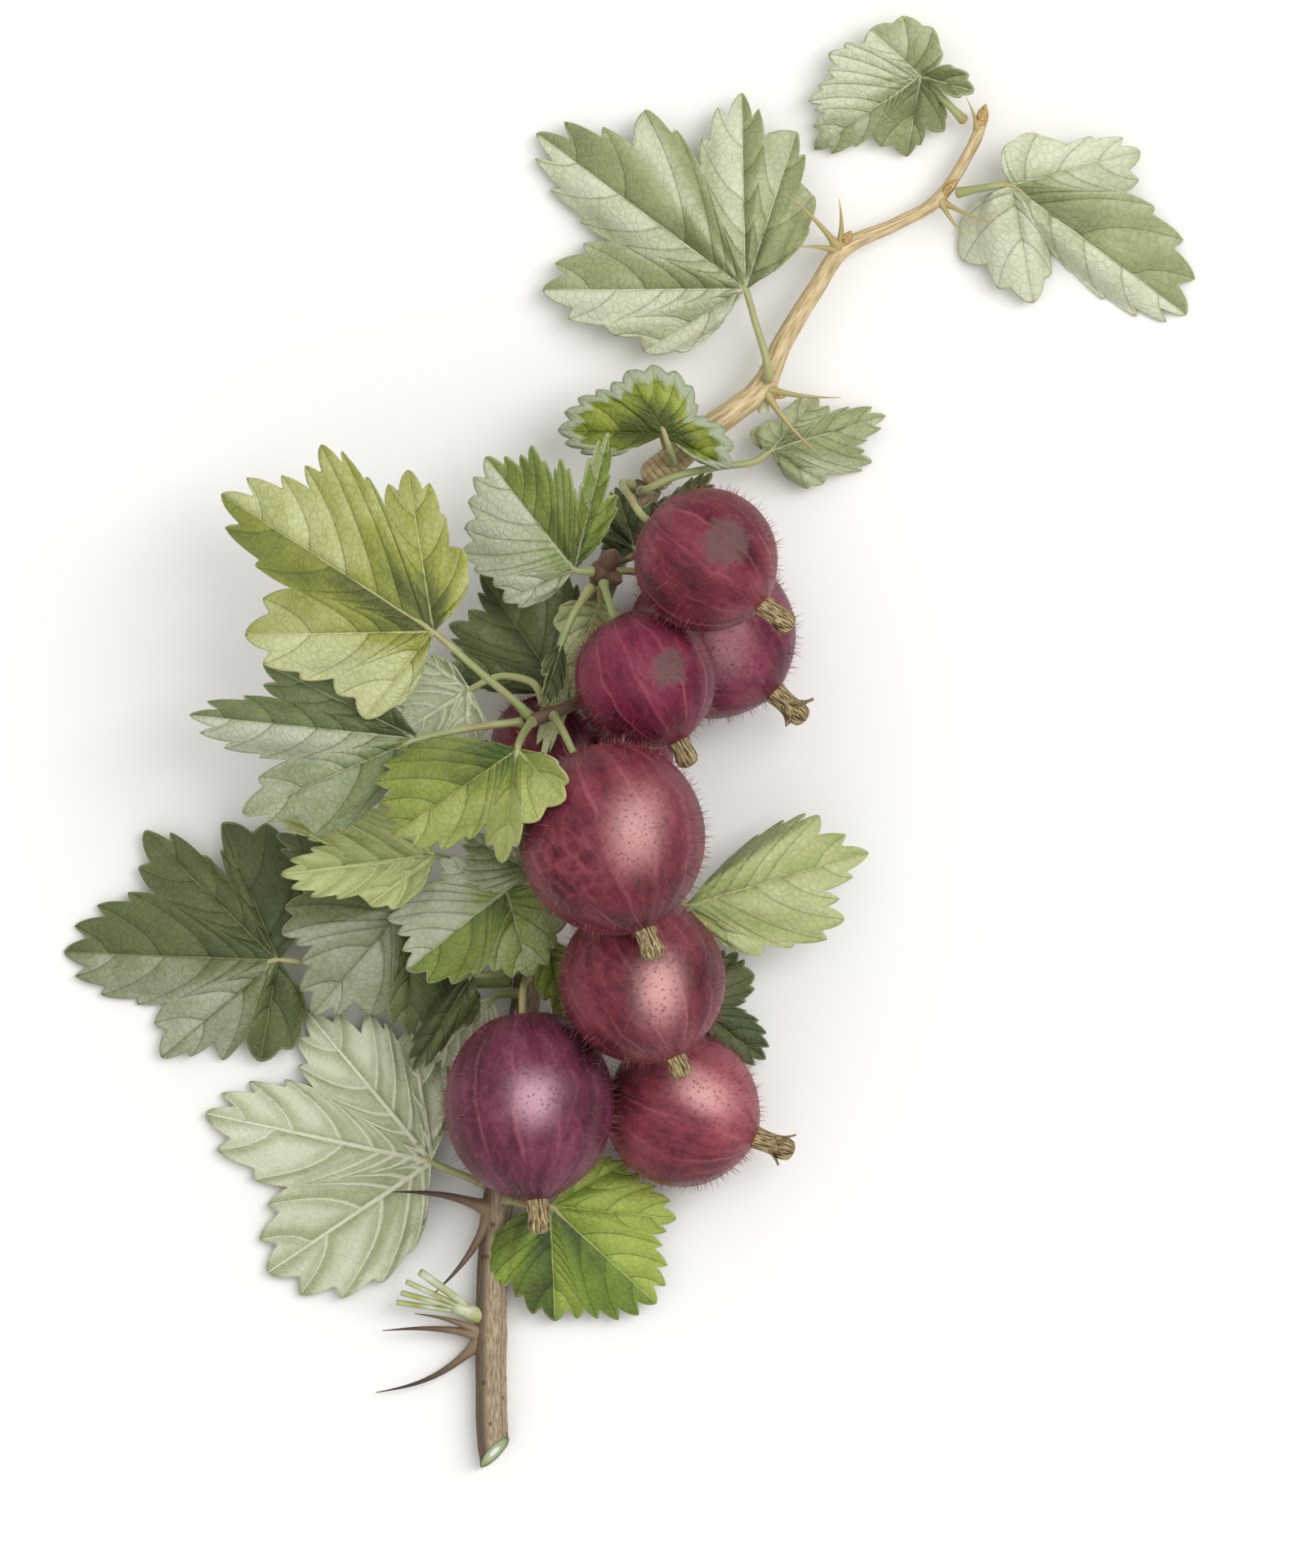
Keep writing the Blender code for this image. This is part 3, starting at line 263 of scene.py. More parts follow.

# Leaves: number, finish, how pale each half lobe is from 0 to 9, which is painted light, sheen
# and shade of the folded halves, whether a main vein runs to each lobe, blade's foot, route of
# the stalk after the foot, radius of the wood it meets, outline and the rise of each lobe's tip
# above the foot. The outline is corner, lobe, notch, lobe and so on to the other corner, each as
# an angle and a distance from the foot.
LEAVES = (
    ("01", "sage", "32588979654333", "1100110", (42.2, 96.2, 7.2),
     ((46.0, 92.4, 6.4), (49.2, 89.2, 4.2)), 0.8,
     ((-36, 4.4), (-16, 7.9), (30, 2.6), (137, 9.9), (151, 9.4), (166, 13.6), (181, 12.2),
      (192, 16.4), (200, 14.4), (214, 18.2), (230, 10.6), (260, 11.4), (276, 7.2), (293, 8.4),
      (311, 4.6)),
     (1.6, -0.6, -2.0, -3.6, -5.4, -5.6, -3.6)),
    ("02", "sage", "45363838384979", "0110111", (17.1, 65.7, 11.0),
     ((18.6, 60.6, 11.0), (19.9, 56.4, 11.2), (20.3, 53.6, 10.6), (20.1, 52.0, 7.5)), 1.7,
     ((33, 5.5), (54, 16.6), (63, 17.2), (72, 23.8), (83, 22.2), (91, 28.2), (110, 18.6),
      (119, 29.5), (128, 26.2), (143, 37.4), (160, 20.4), (180, 29.0), (194, 20.8), (211, 17.0),
      (235, 6.5)),
     (-4.0, -4.8, -5.6, -5.6, -8.8, -7.4, -4.8)),
    ("03", "sage", "9999847988", "01110", (55.1, 80.6, 8.2),
     ((51.0, 80.2, 7.8), (45.2, 79.1, 4.9)), 2.2,
     ((202, 4.0), (238, 12.6), (254, 11.6), (281, 17.0), (302, 9.8), (324, 31.2), (357, 16.4),
      (375, 19.2), (396, 10.0), (424, 8.2), (480, 2.6)),
     (-5.2, -5.6, -7.6, -3.0, 0.6)),
    ("04", "sage", "5564545565", "10110", (20.9, 42.8, 7.8),
     ((18.2, 41.0, 8.8), (13.3, 40.3, 10.6), (7.0, 38.9, 13.4), (2.8, 36.9, 13.2),
      (2.2, 37.0, 7.2)), 2.1,
     ((292, 2.4), (327, 8.8), (338, 8.4), (354, 14.4), (363, 11.4), (377, 17.0), (393, 9.8),
      (409, 10.0), (439, 4.0), (497, 4.0), (535, 1.6)),
     (-5.0, -5.6, -6.0, -3.4, -1.4)),
    ("05", "rolled", "345343", "111", (5.6, 44.9, 18.0),
     ((6.5, 42.0, 16.4), (6.7, 40.7, 8.4)), 2.2,
     ((-42, 4.2), (-27, 10.6), (30, 4.8), (121, 10.4), (142, 9.8), (178, 15.2), (204, 7.0)),
     (-3.0, -1.6, -3.4)),
    ("06", "green_with_sheen", "34354543488888", "0100101", (-7.3, 25.5, 27.4),
     ((-5.0, 25.2, 27.2), (-3.5, 25.1, 25.2)), 1.7,
     ((46, 5.0), (60, 12.2), (67, 10.6), (76, 20.0), (87, 8.6), (97, 15.8), (103, 12.4),
      (109, 18.6), (118, 16.2), (128, 20.4), (142, 17.4), (171, 16.2), (186, 11.4), (204, 11.0),
      (232, 3.6)),
     (1.4, 2.6, 1.6, 0.0, -4.4, -6.4, -3.6)),
    ("07", "olive", "132212", "111", (2.6, 31.0, 10.8),
     ((0.9, 31.0, 10.4), (-0.1, 31.0, 6.0)), 1.9,
     ((-2, 4.0), (18, 11.0), (30, 10.6), (41, 12.9), (54, 6.2), (72, 4.8), (104, 2.6)),
     (-0.4, -0.8, -0.2)),
    ("08", "olive", "121121", "111", (1.4, 28.5, 13.6),
     ((1.3, 27.6, 11.8), (-1.4, 27.0, 5.6)), 1.9,
     ((72, 4.0), (108, 9.3), (122, 7.0), (140, 6.6), (158, 5.2), (179, 4.9), (214, 2.4)),
     (0.2, 0.4, 0.0)),
    ("09", "yellow", "545555736898", "010111", (-27.2, 16.6, 38.0),
     ((-21.0, 11.2, 35.4), (-15.6, 6.6, 31.2), (-13.3, 4.1, 28.2)), 1.0,
     ((44, 4.0), (71, 12.4), (80, 12.2), (99, 23.2), (111, 19.2), (121, 31.0), (131, 26.8),
      (147, 36.0), (163, 21.2), (181, 26.8), (205, 15.6), (231, 15.8), (256, 5.0)),
     (-0.6, -3.6, -6.6, -10.6, -8.4, -4.6)),
    ("10", "silver", "33386655", "1110", (-29.4, 1.4, 33.0),
     ((-21.6, 3.0, 30.8), (-16.2, 3.7, 28.8), (-13.3, 3.9, 28.2)), 1.0,
     ((126, 5.0), (154, 24.6), (164, 20.8), (174, 32.8), (189, 18.4), (203, 27.2), (212, 20.6),
      (223, 20.0), (242, 5.0)),
     (-7.6, -10.4, -7.6, -4.0)),
    ("11", "lime", "34466776", "0111", (-15.2, -0.1, 46.5),
     ((-14.8, 1.4, 41.0), (-13.8, 3.2, 33.0), (-13.0, 4.1, 28.2)), 1.0,
     ((163, 4.0), (193, 20.6), (205, 19.4), (214, 21.6), (247, 11.4), (262, 16.2), (274, 10.4),
      (312, 9.8), (352, 3.6)),
     (-9.0, -11.0, -1.5, 8.0)),
    ("12", "dusky", "36415352", "0101", (-9.1, 8.4, 20.6),
     ((-7.4, 8.6, 20.6), (-4.9, 8.3, 20.6)), 1.0,
     ((66, 4.6), (88, 16.6), (106, 16.2), (125, 20.2), (134, 15.4), (150, 18.6), (158, 15.2),
      (169, 17.2), (186, 3.6)),
     (-3.4, -4.4, -5.4, -5.2)),
    ("13", "under", "678776", "111", (-22.2, 8.4, 24.4),
     ((-18.0, 10.3, 24.6), (-13.6, 9.6, 26.4), (-12.0, 7.6, 27.4), (-11.2, 4.9, 27.8)), 1.0,
     ((122, 3.6), (146, 8.2), (168, 7.2), (212, 11.4), (238, 8.8), (266, 8.2), (300, 5.2)),
     (0.0, -1.0, -0.6)),
    ("14", "spring", "678767", "010", (-3.6, 21.0, 21.4),
     ((-3.5, 22.4, 21.6), (-3.5, 25.0, 21.8)), 1.5,
     ((178, 4.0), (206, 7.4), (236, 9.4), (250, 24.0), (255, 12.4), (288, 8.6), (330, 3.6)),
     (0.2, 5.6, -0.4)),
    ("15", "dusky", "233336877633", "111101", (-49.8, -30.2, 6.4),
     ((-40.0, -31.6, 4.8), (-28.0, -33.6, 3.8), (-14.0, -33.4, 2.9)), 2.1,
     ((52, 8.0), (112, 21.2), (121, 12.8), (136, 26.6), (152, 20.0), (178, 30.7), (201, 17.0),
      (220, 21.8), (232, 14.4), (241, 16.4), (247, 11.8), (260, 14.8), (308, 5.6)),
     (-2.8, -3.6, -5.6, -4.8, -4.4, -3.8)),
    ("16", "under_lime", "45565665", "1011", (-27.2, -15.2, 22.0),
     ((-22.4, -16.4, 20.6), (-16.0, -16.6, 13.0), (-11.4, -16.0, 3.2)), 2.1,
     ((104, 2.6), (132, 11.2), (152, 11.6), (167, 23.6), (174, 14.6), (187, 22.0), (207, 12.2),
      (217, 11.6), (256, 2.2)),
     (1.0, -5.6, -5.0, -1.6)),
    ("18", "dusky", "234878764322", "101010", (-30.9, -21.9, 13.6),
     ((-25.0, -22.4, 12.4), (-18.0, -23.2, 8.4), (-12.4, -23.8, 3.1)), 2.1,
     ((126, 6.0), (153, 21.4), (165, 13.4), (194, 18.8), (204, 15.0), (229, 21.2), (241, 16.4),
      (251, 17.0), (259, 15.6), (270, 19.0), (281, 16.8), (290, 16.2), (318, 5.0)),
     (-3.6, -5.0, -6.6, -6.2, -6.2, -4.6)),
    ("19", "green_with_sheen", "8888845555", "10110", (-17.0, -20.1, 25.0),
     ((-14.4, -19.2, 22.0), (-11.8, -18.5, 3.2)), 2.1,
     ((136, 5.0), (155, 10.4), (171, 8.6), (194, 17.4), (206, 15.0), (219, 18.2), (256, 10.6),
      (286, 12.8), (318, 9.4), (333, 9.8), (372, 4.0)),
     (-1.6, -8.2, -7.0, -3.4, -2.4)),
    ("20", "under", "6667677766", "10111", (-27.7, -59.1, 5.6),
     ((-23.4, -61.0, 5.4), (-17.9, -63.2, 2.6)), 2.15,
     ((68, 5.6), (99, 19.0), (106, 18.0), (113, 23.0), (119, 21.0), (130, 28.2), (148, 20.0),
      (168, 33.2), (190, 21.0), (214, 28.4), (264, 8.6)),
     (-2.6, -3.2, -3.8, -4.4, -4.2)),
    ("21", "bright", "2616377867", "01111", (-10.7, -65.3, 10.6),
     ((-13.4, -65.3, 9.6), (-16.4, -64.6, 6.4), (-18.2, -64.2, 2.6)), 2.15,
     ((194, 3.4), (231, 14.4), (243, 12.0), (272, 16.6), (288, 15.6), (317, 20.6), (344, 14.8),
      (354, 18.0), (375, 13.0), (390, 12.6), (414, 5.0)),
     (-4.4, -8.0, -7.4, -5.2, -3.6)),
    ("22", "spring", "56566565", "1010", (8.7, -22.3, 21.0),
     ((3.0, -20.2, 19.0), (-4.0, -17.8, 12.0), (-11.1, -15.6, 3.2)), 2.1,
     ((-50, 5.0), (-33, 12.8), (-27, 12.0), (-5, 22.6), (6, 19.6), (16, 27.0), (28, 21.2),
      (34, 22.8), (50, 5.0)),
     (-3.6, -8.0, -10.4, -8.4)),
    ("23", "dusky", "212332", "101", (9.8, -37.0, 7.4),
     ((2.0, -38.8, 6.4), (-8.0, -39.0, 5.2), (-14.8, -38.8, 2.9)), 2.1,
     ((-70, 4.5), (-36, 12.6), (1, 5.8), (29, 9.8), (40, 9.2), (52, 10.0), (90, 3.6)),
     (-4.6, -2.4, -1.8)),
    ("24", "olive", "1323", "10", (-21.9, -32.3, 17.0),
     ((-18.2, -32.2, 14.0), (-14.0, -31.4, 3.0)), 2.1,
     ((216, 3.6), (238, 16.2), (250, 9.0), (262, 7.4), (292, 3.0)),
     (-6.0, -3.0)),
    ("25", "under", "7676", "10", (-18.9, -35.4, 8.0),
     ((-17.2, -35.0, 7.2), (-14.3, -35.0, 2.9)), 2.1,
     ((200, 4.0), (226, 13.0), (238, 11.4), (250, 13.6), (284, 4.6)),
     (-1.8, -1.0)),
    ("27", "silver", "565456", "010", (-12.9, -17.8, 28.0),
     ((-11.6, -16.6, 24.0), (-11.1, -13.4, 3.2)), 2.1,
     ((100, 2.6), (126, 6.8), (138, 6.2), (150, 12.0), (163, 9.6), (176, 10.2), (210, 4.8)),
     (-1.0, -1.6, -1.2)),
    ("28", "bright", "676767", "010", (-10.9, -27.1, 14.6),
     ((-11.2, -26.6, 12.4), (-12.9, -26.2, 3.0)), 2.1,
     ((240, 2.6), (265, 8.8), (271, 8.2), (280, 14.8), (291, 8.4), (302, 7.0), (336, 2.4)),
     (-0.6, -2.2, -0.4)),
    ("29", "olive", "1211", "01", (-9.1, 14.8, 29.2),
     ((-7.4, 19.0, 28.6), (-3.8, 24.6, 25.2)), 1.7,
     ((216, 2.6), (238, 5.2), (245, 4.8), (253, 9.4), (288, 2.4)),
     (0.2, 1.2)),
)

# Leaf finishes: darkest, middle and palest colour of the blade's face, colour of its veins,
# whether the underside is the face that shows, colour and width of its margin, and how much
# darker it is at its foot.
# The half lobes' painted light and shade picks among the three face colours. The grey palest
# colour of the silver finish, and of the finish with one green half, is a painted sheen.
LEAF_FINISHES = {
    "sage": ("5c6639", "929a6b", "cbcfb3", "cbceac", False, "b9b98a", 0.4, 0.3),
    "olive": ("38401f", "656c3a", "a4a888", "8f956a", False, "a3a472", 0.4, 0.2),
    "bright": ("38481a", "768e2f", "a5b551", "c0c97c", False, "b0b67c", 0.4, 0.3),
    "spring": ("5f6c33", "9ca465", "cacd9e", "c8cc98", False, "b9bf90", 0.4, 0.25),
    "yellow": ("4f5523", "91963f", "c6c894", "d2d19c", False, "b3b078", 0.4, 0.55),
    "silver": ("414f2a", "7b8858", "bcc0a8", "bfc4a2", False, "b9b98a", 0.4, 0.3),
    "green_with_sheen": ("3d4c14", "809240", "bcc0a8", "bfc4a2", False, "b3b888", 0.4, 0.3),
    "under": ("6f7b52", "a0a780", "cdd0b6", "dadcc0", True, "c3c69c", 0.4, 0.2),
    "lime": ("46591c", "8e9a44", "bcc079", "b9bb7c", False, "b3b078", 0.4, 0.5),
    "dusky": ("3a4523", "626c3d", "a5ac92", "7f875c", False, "9a9f78", 0.4, 0.2),
    "under_lime": ("7d8848", "aeb673", "d2d7a3", "c5cc8a", True, "c0c58c", 0.4, 0.2),
    "rolled": ("465014", "8a952f", "c3c87c", "5f6c2c", False, "a2ab90", 2.3, 0.7),
}
BACK_FINISH = ("7f8a5f", "9fa77b", "c0c4a3", "cbceac", True, "b9b98a", 0.4, 0.0)


def linear(hex_colour):
    """Turn an sRGB hex colour to linear red, green, blue and alpha."""
    levels = [int(hex_colour[i:i + 2], 16) / 255 for i in (0, 2, 4)]
    return [v / 12.92 if v <= 0.04045 else ((v + 0.055) / 1.055) ** 2.4 for v in levels] + [1.0]


def add_node(tree, kind, inputs=(), stops=(), **settings):
    """Add a node with its settings, its ramp's stops, and its inputs' values or links.

    The inputs come in the node's own order, or in a dictionary by number or name.
    """
    node = tree.nodes.new(kind)
    for name, value in settings.items():
        setattr(node, name, value)
    for index, (position, colour) in enumerate(stops):
        elements = node.color_ramp.elements
        element = elements[index] if index < len(elements) else elements.new(position)
        element.position = position
        element.color = colour
    given = inputs if isinstance(inputs, dict) else dict(enumerate(inputs))
    for socket, value in given.items():
        if isinstance(value, bpy.types.NodeSocket):
            tree.links.new(value, node.inputs[socket])
        else:
            node.inputs[socket].default_value = value
    return node


def new_material(name, roughness):
    """Make a material and return it with its node tree and its shader."""
    material = bpy.data.materials.new(name)
    material.use_nodes = True
    shader = material.node_tree.nodes["Principled BSDF"]
    shader.inputs["Roughness"].default_value = roughness
    return material, material.node_tree, shader


def laid_over(tree, colour, layers):
    """Lay colours over a colour; each layer is a mask, its strength and its own colour."""
    for cover, strength, shade in layers:
        share = add_node(tree, "ShaderNodeMath", (cover, strength), operation="MULTIPLY")
        colour = add_node(tree, "ShaderNodeMix",
                          {0: share.outputs[0], 6: colour, 7: linear(shade)},
                          data_type="RGBA").outputs[2]
    return colour


def patchy_material(name, roughness, scale, detail, colours, stretch=None, relief=None):
    """Make a skin whose colours come in patches, once.

    stretch lays the patches along the piece's own map; relief is a bump's strength and height.
    """
    found = bpy.data.materials.get(name)
    if found:
        return found
    material, tree, shader = new_material(name, roughness)
    if stretch:
        surface = add_node(tree, "ShaderNodeUVMap", uv_map="surface")
        place = add_node(tree, "ShaderNodeMapping", {0: surface.outputs[0], 3: stretch}).outputs[0]
    else:
        place = add_node(tree, "ShaderNodeTexCoord").outputs["Object"]
    patch = add_node(tree, "ShaderNodeTexNoise",
                     {"Vector": place, "Scale": scale, "Detail": detail}).outputs[0]
    ramp = add_node(tree, "ShaderNodeValToRGB", {0: patch},
                    stops=[(spot, linear(shade)) for spot, shade in colours])
    tree.links.new(ramp.outputs[0], shader.inputs["Base Color"])
    if relief:
        bump = add_node(tree, "ShaderNodeBump",
                        {"Strength": relief[0], "Distance": relief[1], "Height": patch})
        tree.links.new(bump.outputs[0], shader.inputs["Normal"])
    return material


# Smooth routes, tubes and pieces.

def smooth_route(points, steps):
    """Read a smooth curve through points of any number of values."""
    ends = [tuple(2 * a - b for a, b in zip(points[0], points[1])),
            tuple(2 * a - b for a, b in zip(points[-1], points[-2]))]
    knots = [ends[0], *points, ends[1]]
    route = []
    for i in range(1, len(knots) - 2):
        p0, p1, p2, p3 = knots[i - 1:i + 3]
        for k in range(steps):
            t = k / steps
            route.append(tuple(
                0.5 * (2 * b + (c - a) * t + (2 * a - 5 * b + 4 * c - d) * t * t
                       + (3 * b - a - 3 * c + d) * t ** 3)
                for a, b, c, d in zip(p0, p1, p2, p3)))
    route.append(tuple(points[-1]))
    return route


def stop_short(route, gap):
    """Cut the end of a route back by a gap, so that it ends clear of the wood."""
    route = [tuple(p) for p in route]
    while len(route) > 2 and (Vector(route[-2][:3]) - Vector(route[-1][:3])).length <= gap:
        gap -= (Vector(route[-2][:3]) - Vector(route[-1][:3])).length
        route.pop()
    last, before = Vector(route[-1]), Vector(route[-2])
    step = before - last
    route[-1] = tuple(last + step * (gap / step.length))
    return route


def new_piece(name, verts, faces, materials, node, uvs=None, attributes=None,
              face_materials=None):
    """Make a smooth piece from places in millimetres, and claim it where a node is given."""
    mesh = bpy.data.meshes.new(name)
    mesh.from_pydata([tuple(v * MM for v in p) for p in verts], [], faces)
    if uvs is not None:
        layer = mesh.uv_layers.new(name="surface")
        loops = np.empty(len(mesh.loops), dtype=np.int32)
        mesh.loops.foreach_get("vertex_index", loops)
        layer.uv.foreach_set("vector", np.asarray(uvs, dtype=np.float32)[loops].ravel())
    for key, values in (attributes or {}).items():
        layer = mesh.attributes.new(key, "FLOAT", "POINT")
        layer.data.foreach_set("value", np.asarray(values, dtype=np.float32))
    for material in materials:
        mesh.materials.append(material)
    if face_materials is not None:
        mesh.polygons.foreach_set("material_index", np.asarray(face_materials, dtype=np.int32))
    mesh.shade_smooth()
    piece = bpy.data.objects.new(name, mesh)
    bpy.context.scene.collection.objects.link(piece)
    return claim(piece, node) if node else piece


def claim(piece, node):
    """Make a finished piece ride the branch and stand for its node."""
    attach(piece, "root")
    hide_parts(*((node,) if isinstance(node, str) else node))
    return piece


def plain_mesh(thing):
    """Apply a piece's modifiers for good."""
    bpy.context.view_layer.update()
    graph = bpy.context.evaluated_depsgraph_get()
    mesh = bpy.data.meshes.new_from_object(thing.evaluated_get(graph), depsgraph=graph)
    thing.modifiers.clear()
    old = thing.data
    thing.data = mesh
    bpy.data.meshes.remove(old)
    return thing


def frames_along(route):
    """Carry a square frame along a route without twisting it."""
    places = [Vector(p[:3]) for p in route]
    ways = [(places[min(i + 1, len(places) - 1)] - places[max(i - 1, 0)]).normalized()
            for i in range(len(places))]
    side = ways[0].orthogonal().normalized()
    frames = []
    for place, way in zip(places, ways):
        side = (side - way * side.dot(way)).normalized()
        frames.append((place, way, side, way.cross(side)))
    return frames


def bands(rings, sides):
    """Lay bands of faces between rings of places that all have the same number."""
    faces = []
    for i in range(rings - 1):
        for k in range(sides):
            a, b = i * sides + k, i * sides + (k + 1) % sides
            faces.append((a, b, b + sides, a + sides))
    return faces


def tube(route, sides, swell=None, round_ends=True):
    """Sweep a closed tube along places with radii; return its places, faces and surface map.

    The map is millimetres around and along. swell(turn, along) multiplies the radius.
    """
    frames = frames_along(route)
    radii = [p[3] for p in route]
    along = [0.0]
    for a, b in zip(frames, frames[1:]):
        along.append(along[-1] + (b[0] - a[0]).length)
    rings = [(frames[i], radii[i], along[i], 0.0) for i in range(len(route))]
    if round_ends:
        for turn in (30, 60, 82):
            shrink, out = math.cos(math.radians(turn)), math.sin(math.radians(turn))
            rings.insert(0, (frames[0], radii[0] * shrink, along[0], -out * radii[0] * 0.6))
            rings.append((frames[-1], radii[-1] * shrink, along[-1], out * radii[-1] * 0.6))
    verts, uvs = [], []
    for (place, way, side, up), radius, distance, shift in rings:
        for k in range(sides):
            turn = 2 * math.pi * k / sides
            reach = radius * (swell(turn, distance) if swell else 1.0)
            out = side * math.cos(turn) + up * math.sin(turn)
            verts.append(place + way * shift + out * reach)
            uvs.append((turn, distance + shift))
    faces = bands(len(rings), sides)
    faces.append(tuple(reversed(range(sides))))
    faces.append(tuple(range((len(rings) - 1) * sides, len(rings) * sides)))
    return verts, faces, uvs


def joined(parts):
    """Join several lots of places, faces and surface maps to one."""
    verts, faces, uvs = [], [], []
    for part_verts, part_faces, part_uvs in parts:
        base = len(verts)
        verts += part_verts
        uvs += part_uvs
        faces += [tuple(base + i for i in face) for face in part_faces]
    return verts, faces, uvs


# Leaves.

def tooth_count(tip, edge, longest):
    """Count the teeth on the margin between a lobe's tip and the notch beside it."""
    turn = math.radians(tip[0] - edge[0])
    length = math.sqrt(tip[1] ** 2 + edge[1] ** 2 - 2 * tip[1] * edge[1] * math.cos(turn))
    return max(0, round(length / (TOOTH_SHARE * longest) - 0.5))


def blade_margin(outline, rises, half_lobe_light, mains):
    """Work out a blade's margin, column by column, its painted light and shade, and where its
    lobes lie along it.

    A column's place counts the teeth along the margin from one corner to the other.
    """
    lobes = list(zip(outline[1::2], rises))
    longest = max(reach for _, reach in outline)
    halves = [tooth_count(tip, outline[2 * index + 1 + side], longest) + 0.5
              for index, (tip, _) in enumerate(lobes) for side in (-1, 1)]
    tips = [sum(halves[:2 * i + 1]) for i in range(len(lobes))]
    borders = [sum(halves[:2 * i]) for i in range(len(lobes) + 1)]
    columns = []
    for index, ((angle, reach), rise) in enumerate(lobes):
        for side in (-1, 1):
            edge_angle, edge_reach = outline[2 * index + 1 + side]
            neighbour = index + side
            outer = rise * 0.6
            if 0 <= neighbour < len(lobes):
                outer = (rise + lobes[neighbour][1]) / 2
            half = 2 * index + (side + 1) // 2
            # Each half lobe's digit is its painted light and shade; it blends towards its
            # neighbours' at the main vein and at the notch.
            own, tip, border = (int(half_lobe_light[i]) / 9 if 0 <= i < len(half_lobe_light) else None
                                for i in (half, half - side, half + side))
            inner = own if mains[index] == "1" else (own + tip) / 2
            border = own if border is None else (own + border) / 2
            last = (0.5 / (1 - TOOTH_LEAN)) ** TOOTH_BACK
            fall = edge_reach / (1 - TOOTH_DEPTH * last) - reach
            steps = int(2 * halves[half]) * COLUMNS_PER_STEP
            for step in range(steps, 0, -1) if side < 0 else range(0, steps + 1):
                x = step / steps
                if side < 0 and step == steps and index > 0:
                    continue
                along = x * halves[half]
                part = along - math.floor(along + TOOTH_LEAN)
                if part < 0:
                    notch = (-part / TOOTH_LEAN) ** TOOTH_FRONT
                else:
                    notch = (part / (1 - TOOTH_LEAN)) ** TOOTH_BACK
                envelope = reach + fall * x ** SINUS_SHARPNESS
                columns.append((angle + (edge_angle - angle) * x, envelope,
                                envelope * (1 - TOOTH_DEPTH * notch), rise + (outer - rise) * x,
                                tips[index] + side * along,
                                own + (inner - own) * (1 - x) ** 3 + (border - own) * x ** 3))
    names = ("angle", "envelope", "reach", "rise", "place", "tone")
    return dict(zip(names, np.array(columns).T)), tips, borders


def main_vein_zones(outline, tips, borders, mains):
    """Share the margin out among the main veins: tip and the two borders, as places.

    Also give the knots of the smooth reach that a blade's slope follows: a place, a distance.
    """
    leaders = [i for i, main in enumerate(mains) if main == "1"]
    notches = [0] + [min(range(a + 1, b + 1), key=lambda i: outline[2 * i][1])
                     for a, b in zip(leaders, leaders[1:])] + [len(mains)]
    zones = [(tips[i], borders[low], borders[high])
             for i, low, high in zip(leaders, notches, notches[1:])]
    knots = sorted([(tips[i], outline[2 * i + 1][1]) for i in leaders]
                   + [(borders[i], outline[2 * i][1]) for i in notches])
    return zones, knots


def eased(places, knots):
    """Read a value between knots, level at each of them."""
    spots, values = np.array(knots).T
    index = np.clip(np.searchsorted(spots, places, side="right") - 1, 0, len(spots) - 2)
    share = (places - spots[index]) / (spots[index + 1] - spots[index])
    share = 0.5 - 0.5 * np.cos(np.pi * np.clip(share, 0, 1))
    return values[index] + (values[index + 1] - values[index]) * share


def side_vein_count(margin, zone, end, x, y):
    """Count the side veins between a main vein's tip and each place on one side of it.

    The side veins arch from the main vein to the margin's teeth, and near the foot to the
    border with the next main vein. Gives the count and the millimetres between veins.
    """
    tip = zone[0]

    def spot(place, key):
        return np.interp(place, margin["place"], margin[key])

    length = float(spot(tip, "envelope"))
    most = max((tip - zone[1]) / 0.85, (zone[2] - tip) / 0.85, length / VEIN_SPACING)
    reached = abs(end - tip)
    counts = np.linspace(0.2, most * 0.97, 72)
    places = tip + (end - tip) / reached * np.minimum(counts, reached)
    beyond = np.clip((counts - reached) / (most - reached), 0, 1)
    angles = np.radians(spot(places, "angle"))
    far = spot(places, "envelope") * (1 - beyond)
    turn = np.radians(float(spot(tip, "angle")))
    off = np.abs(angles - turn)
    lead = np.cos(off) - np.sin(off) / math.tan(math.radians(VEIN_ANGLE))
    spare = length * VEIN_SPARE * (1 - counts / most) ** 1.5
    shift = VEIN_STAGGER * length / most if end > tip else 0.0
    near = np.maximum(np.maximum(far * lead, spare) - shift * (1 - counts / most), 0.02 * spare)
    near = np.minimum.accumulate(near)
    sx, sy = near * np.cos(turn), near * np.sin(turn)
    dx, dy = far * np.cos(angles) - sx, far * np.sin(angles) - sy
    size = np.hypot(dx, dy)
    dx, dy = dx / size, dy / size
    sign = np.sign(dx * -sy - dy * -sx)
    gap = (dx * (y[..., None] - sy) - dy * (x[..., None] - sx)) * sign
    passed = np.cumprod(gap > 0, axis=-1).sum(axis=-1)
    before = np.clip(passed - 1, 0, len(counts) - 2)
    a = np.take_along_axis(gap, before[..., None], axis=-1)[..., 0]
    b = np.take_along_axis(gap, before[..., None] + 1, axis=-1)[..., 0]
    step = counts[1] - counts[0]
    apart = np.maximum(a - b, 0.02)
    count = counts[before] + step * np.clip(a / apart, -3, 3)
    across = ((x - sx[before]) * dx[before] + (y - sy[before]) * dy[before]) / size[before]
    arch = np.minimum(VEIN_ARCH * size[before] * step / apart, 0.32)
    count = count - arch * np.sin(np.pi * np.clip(across, 0, 1))
    return np.clip(count, 0, most), apart / step


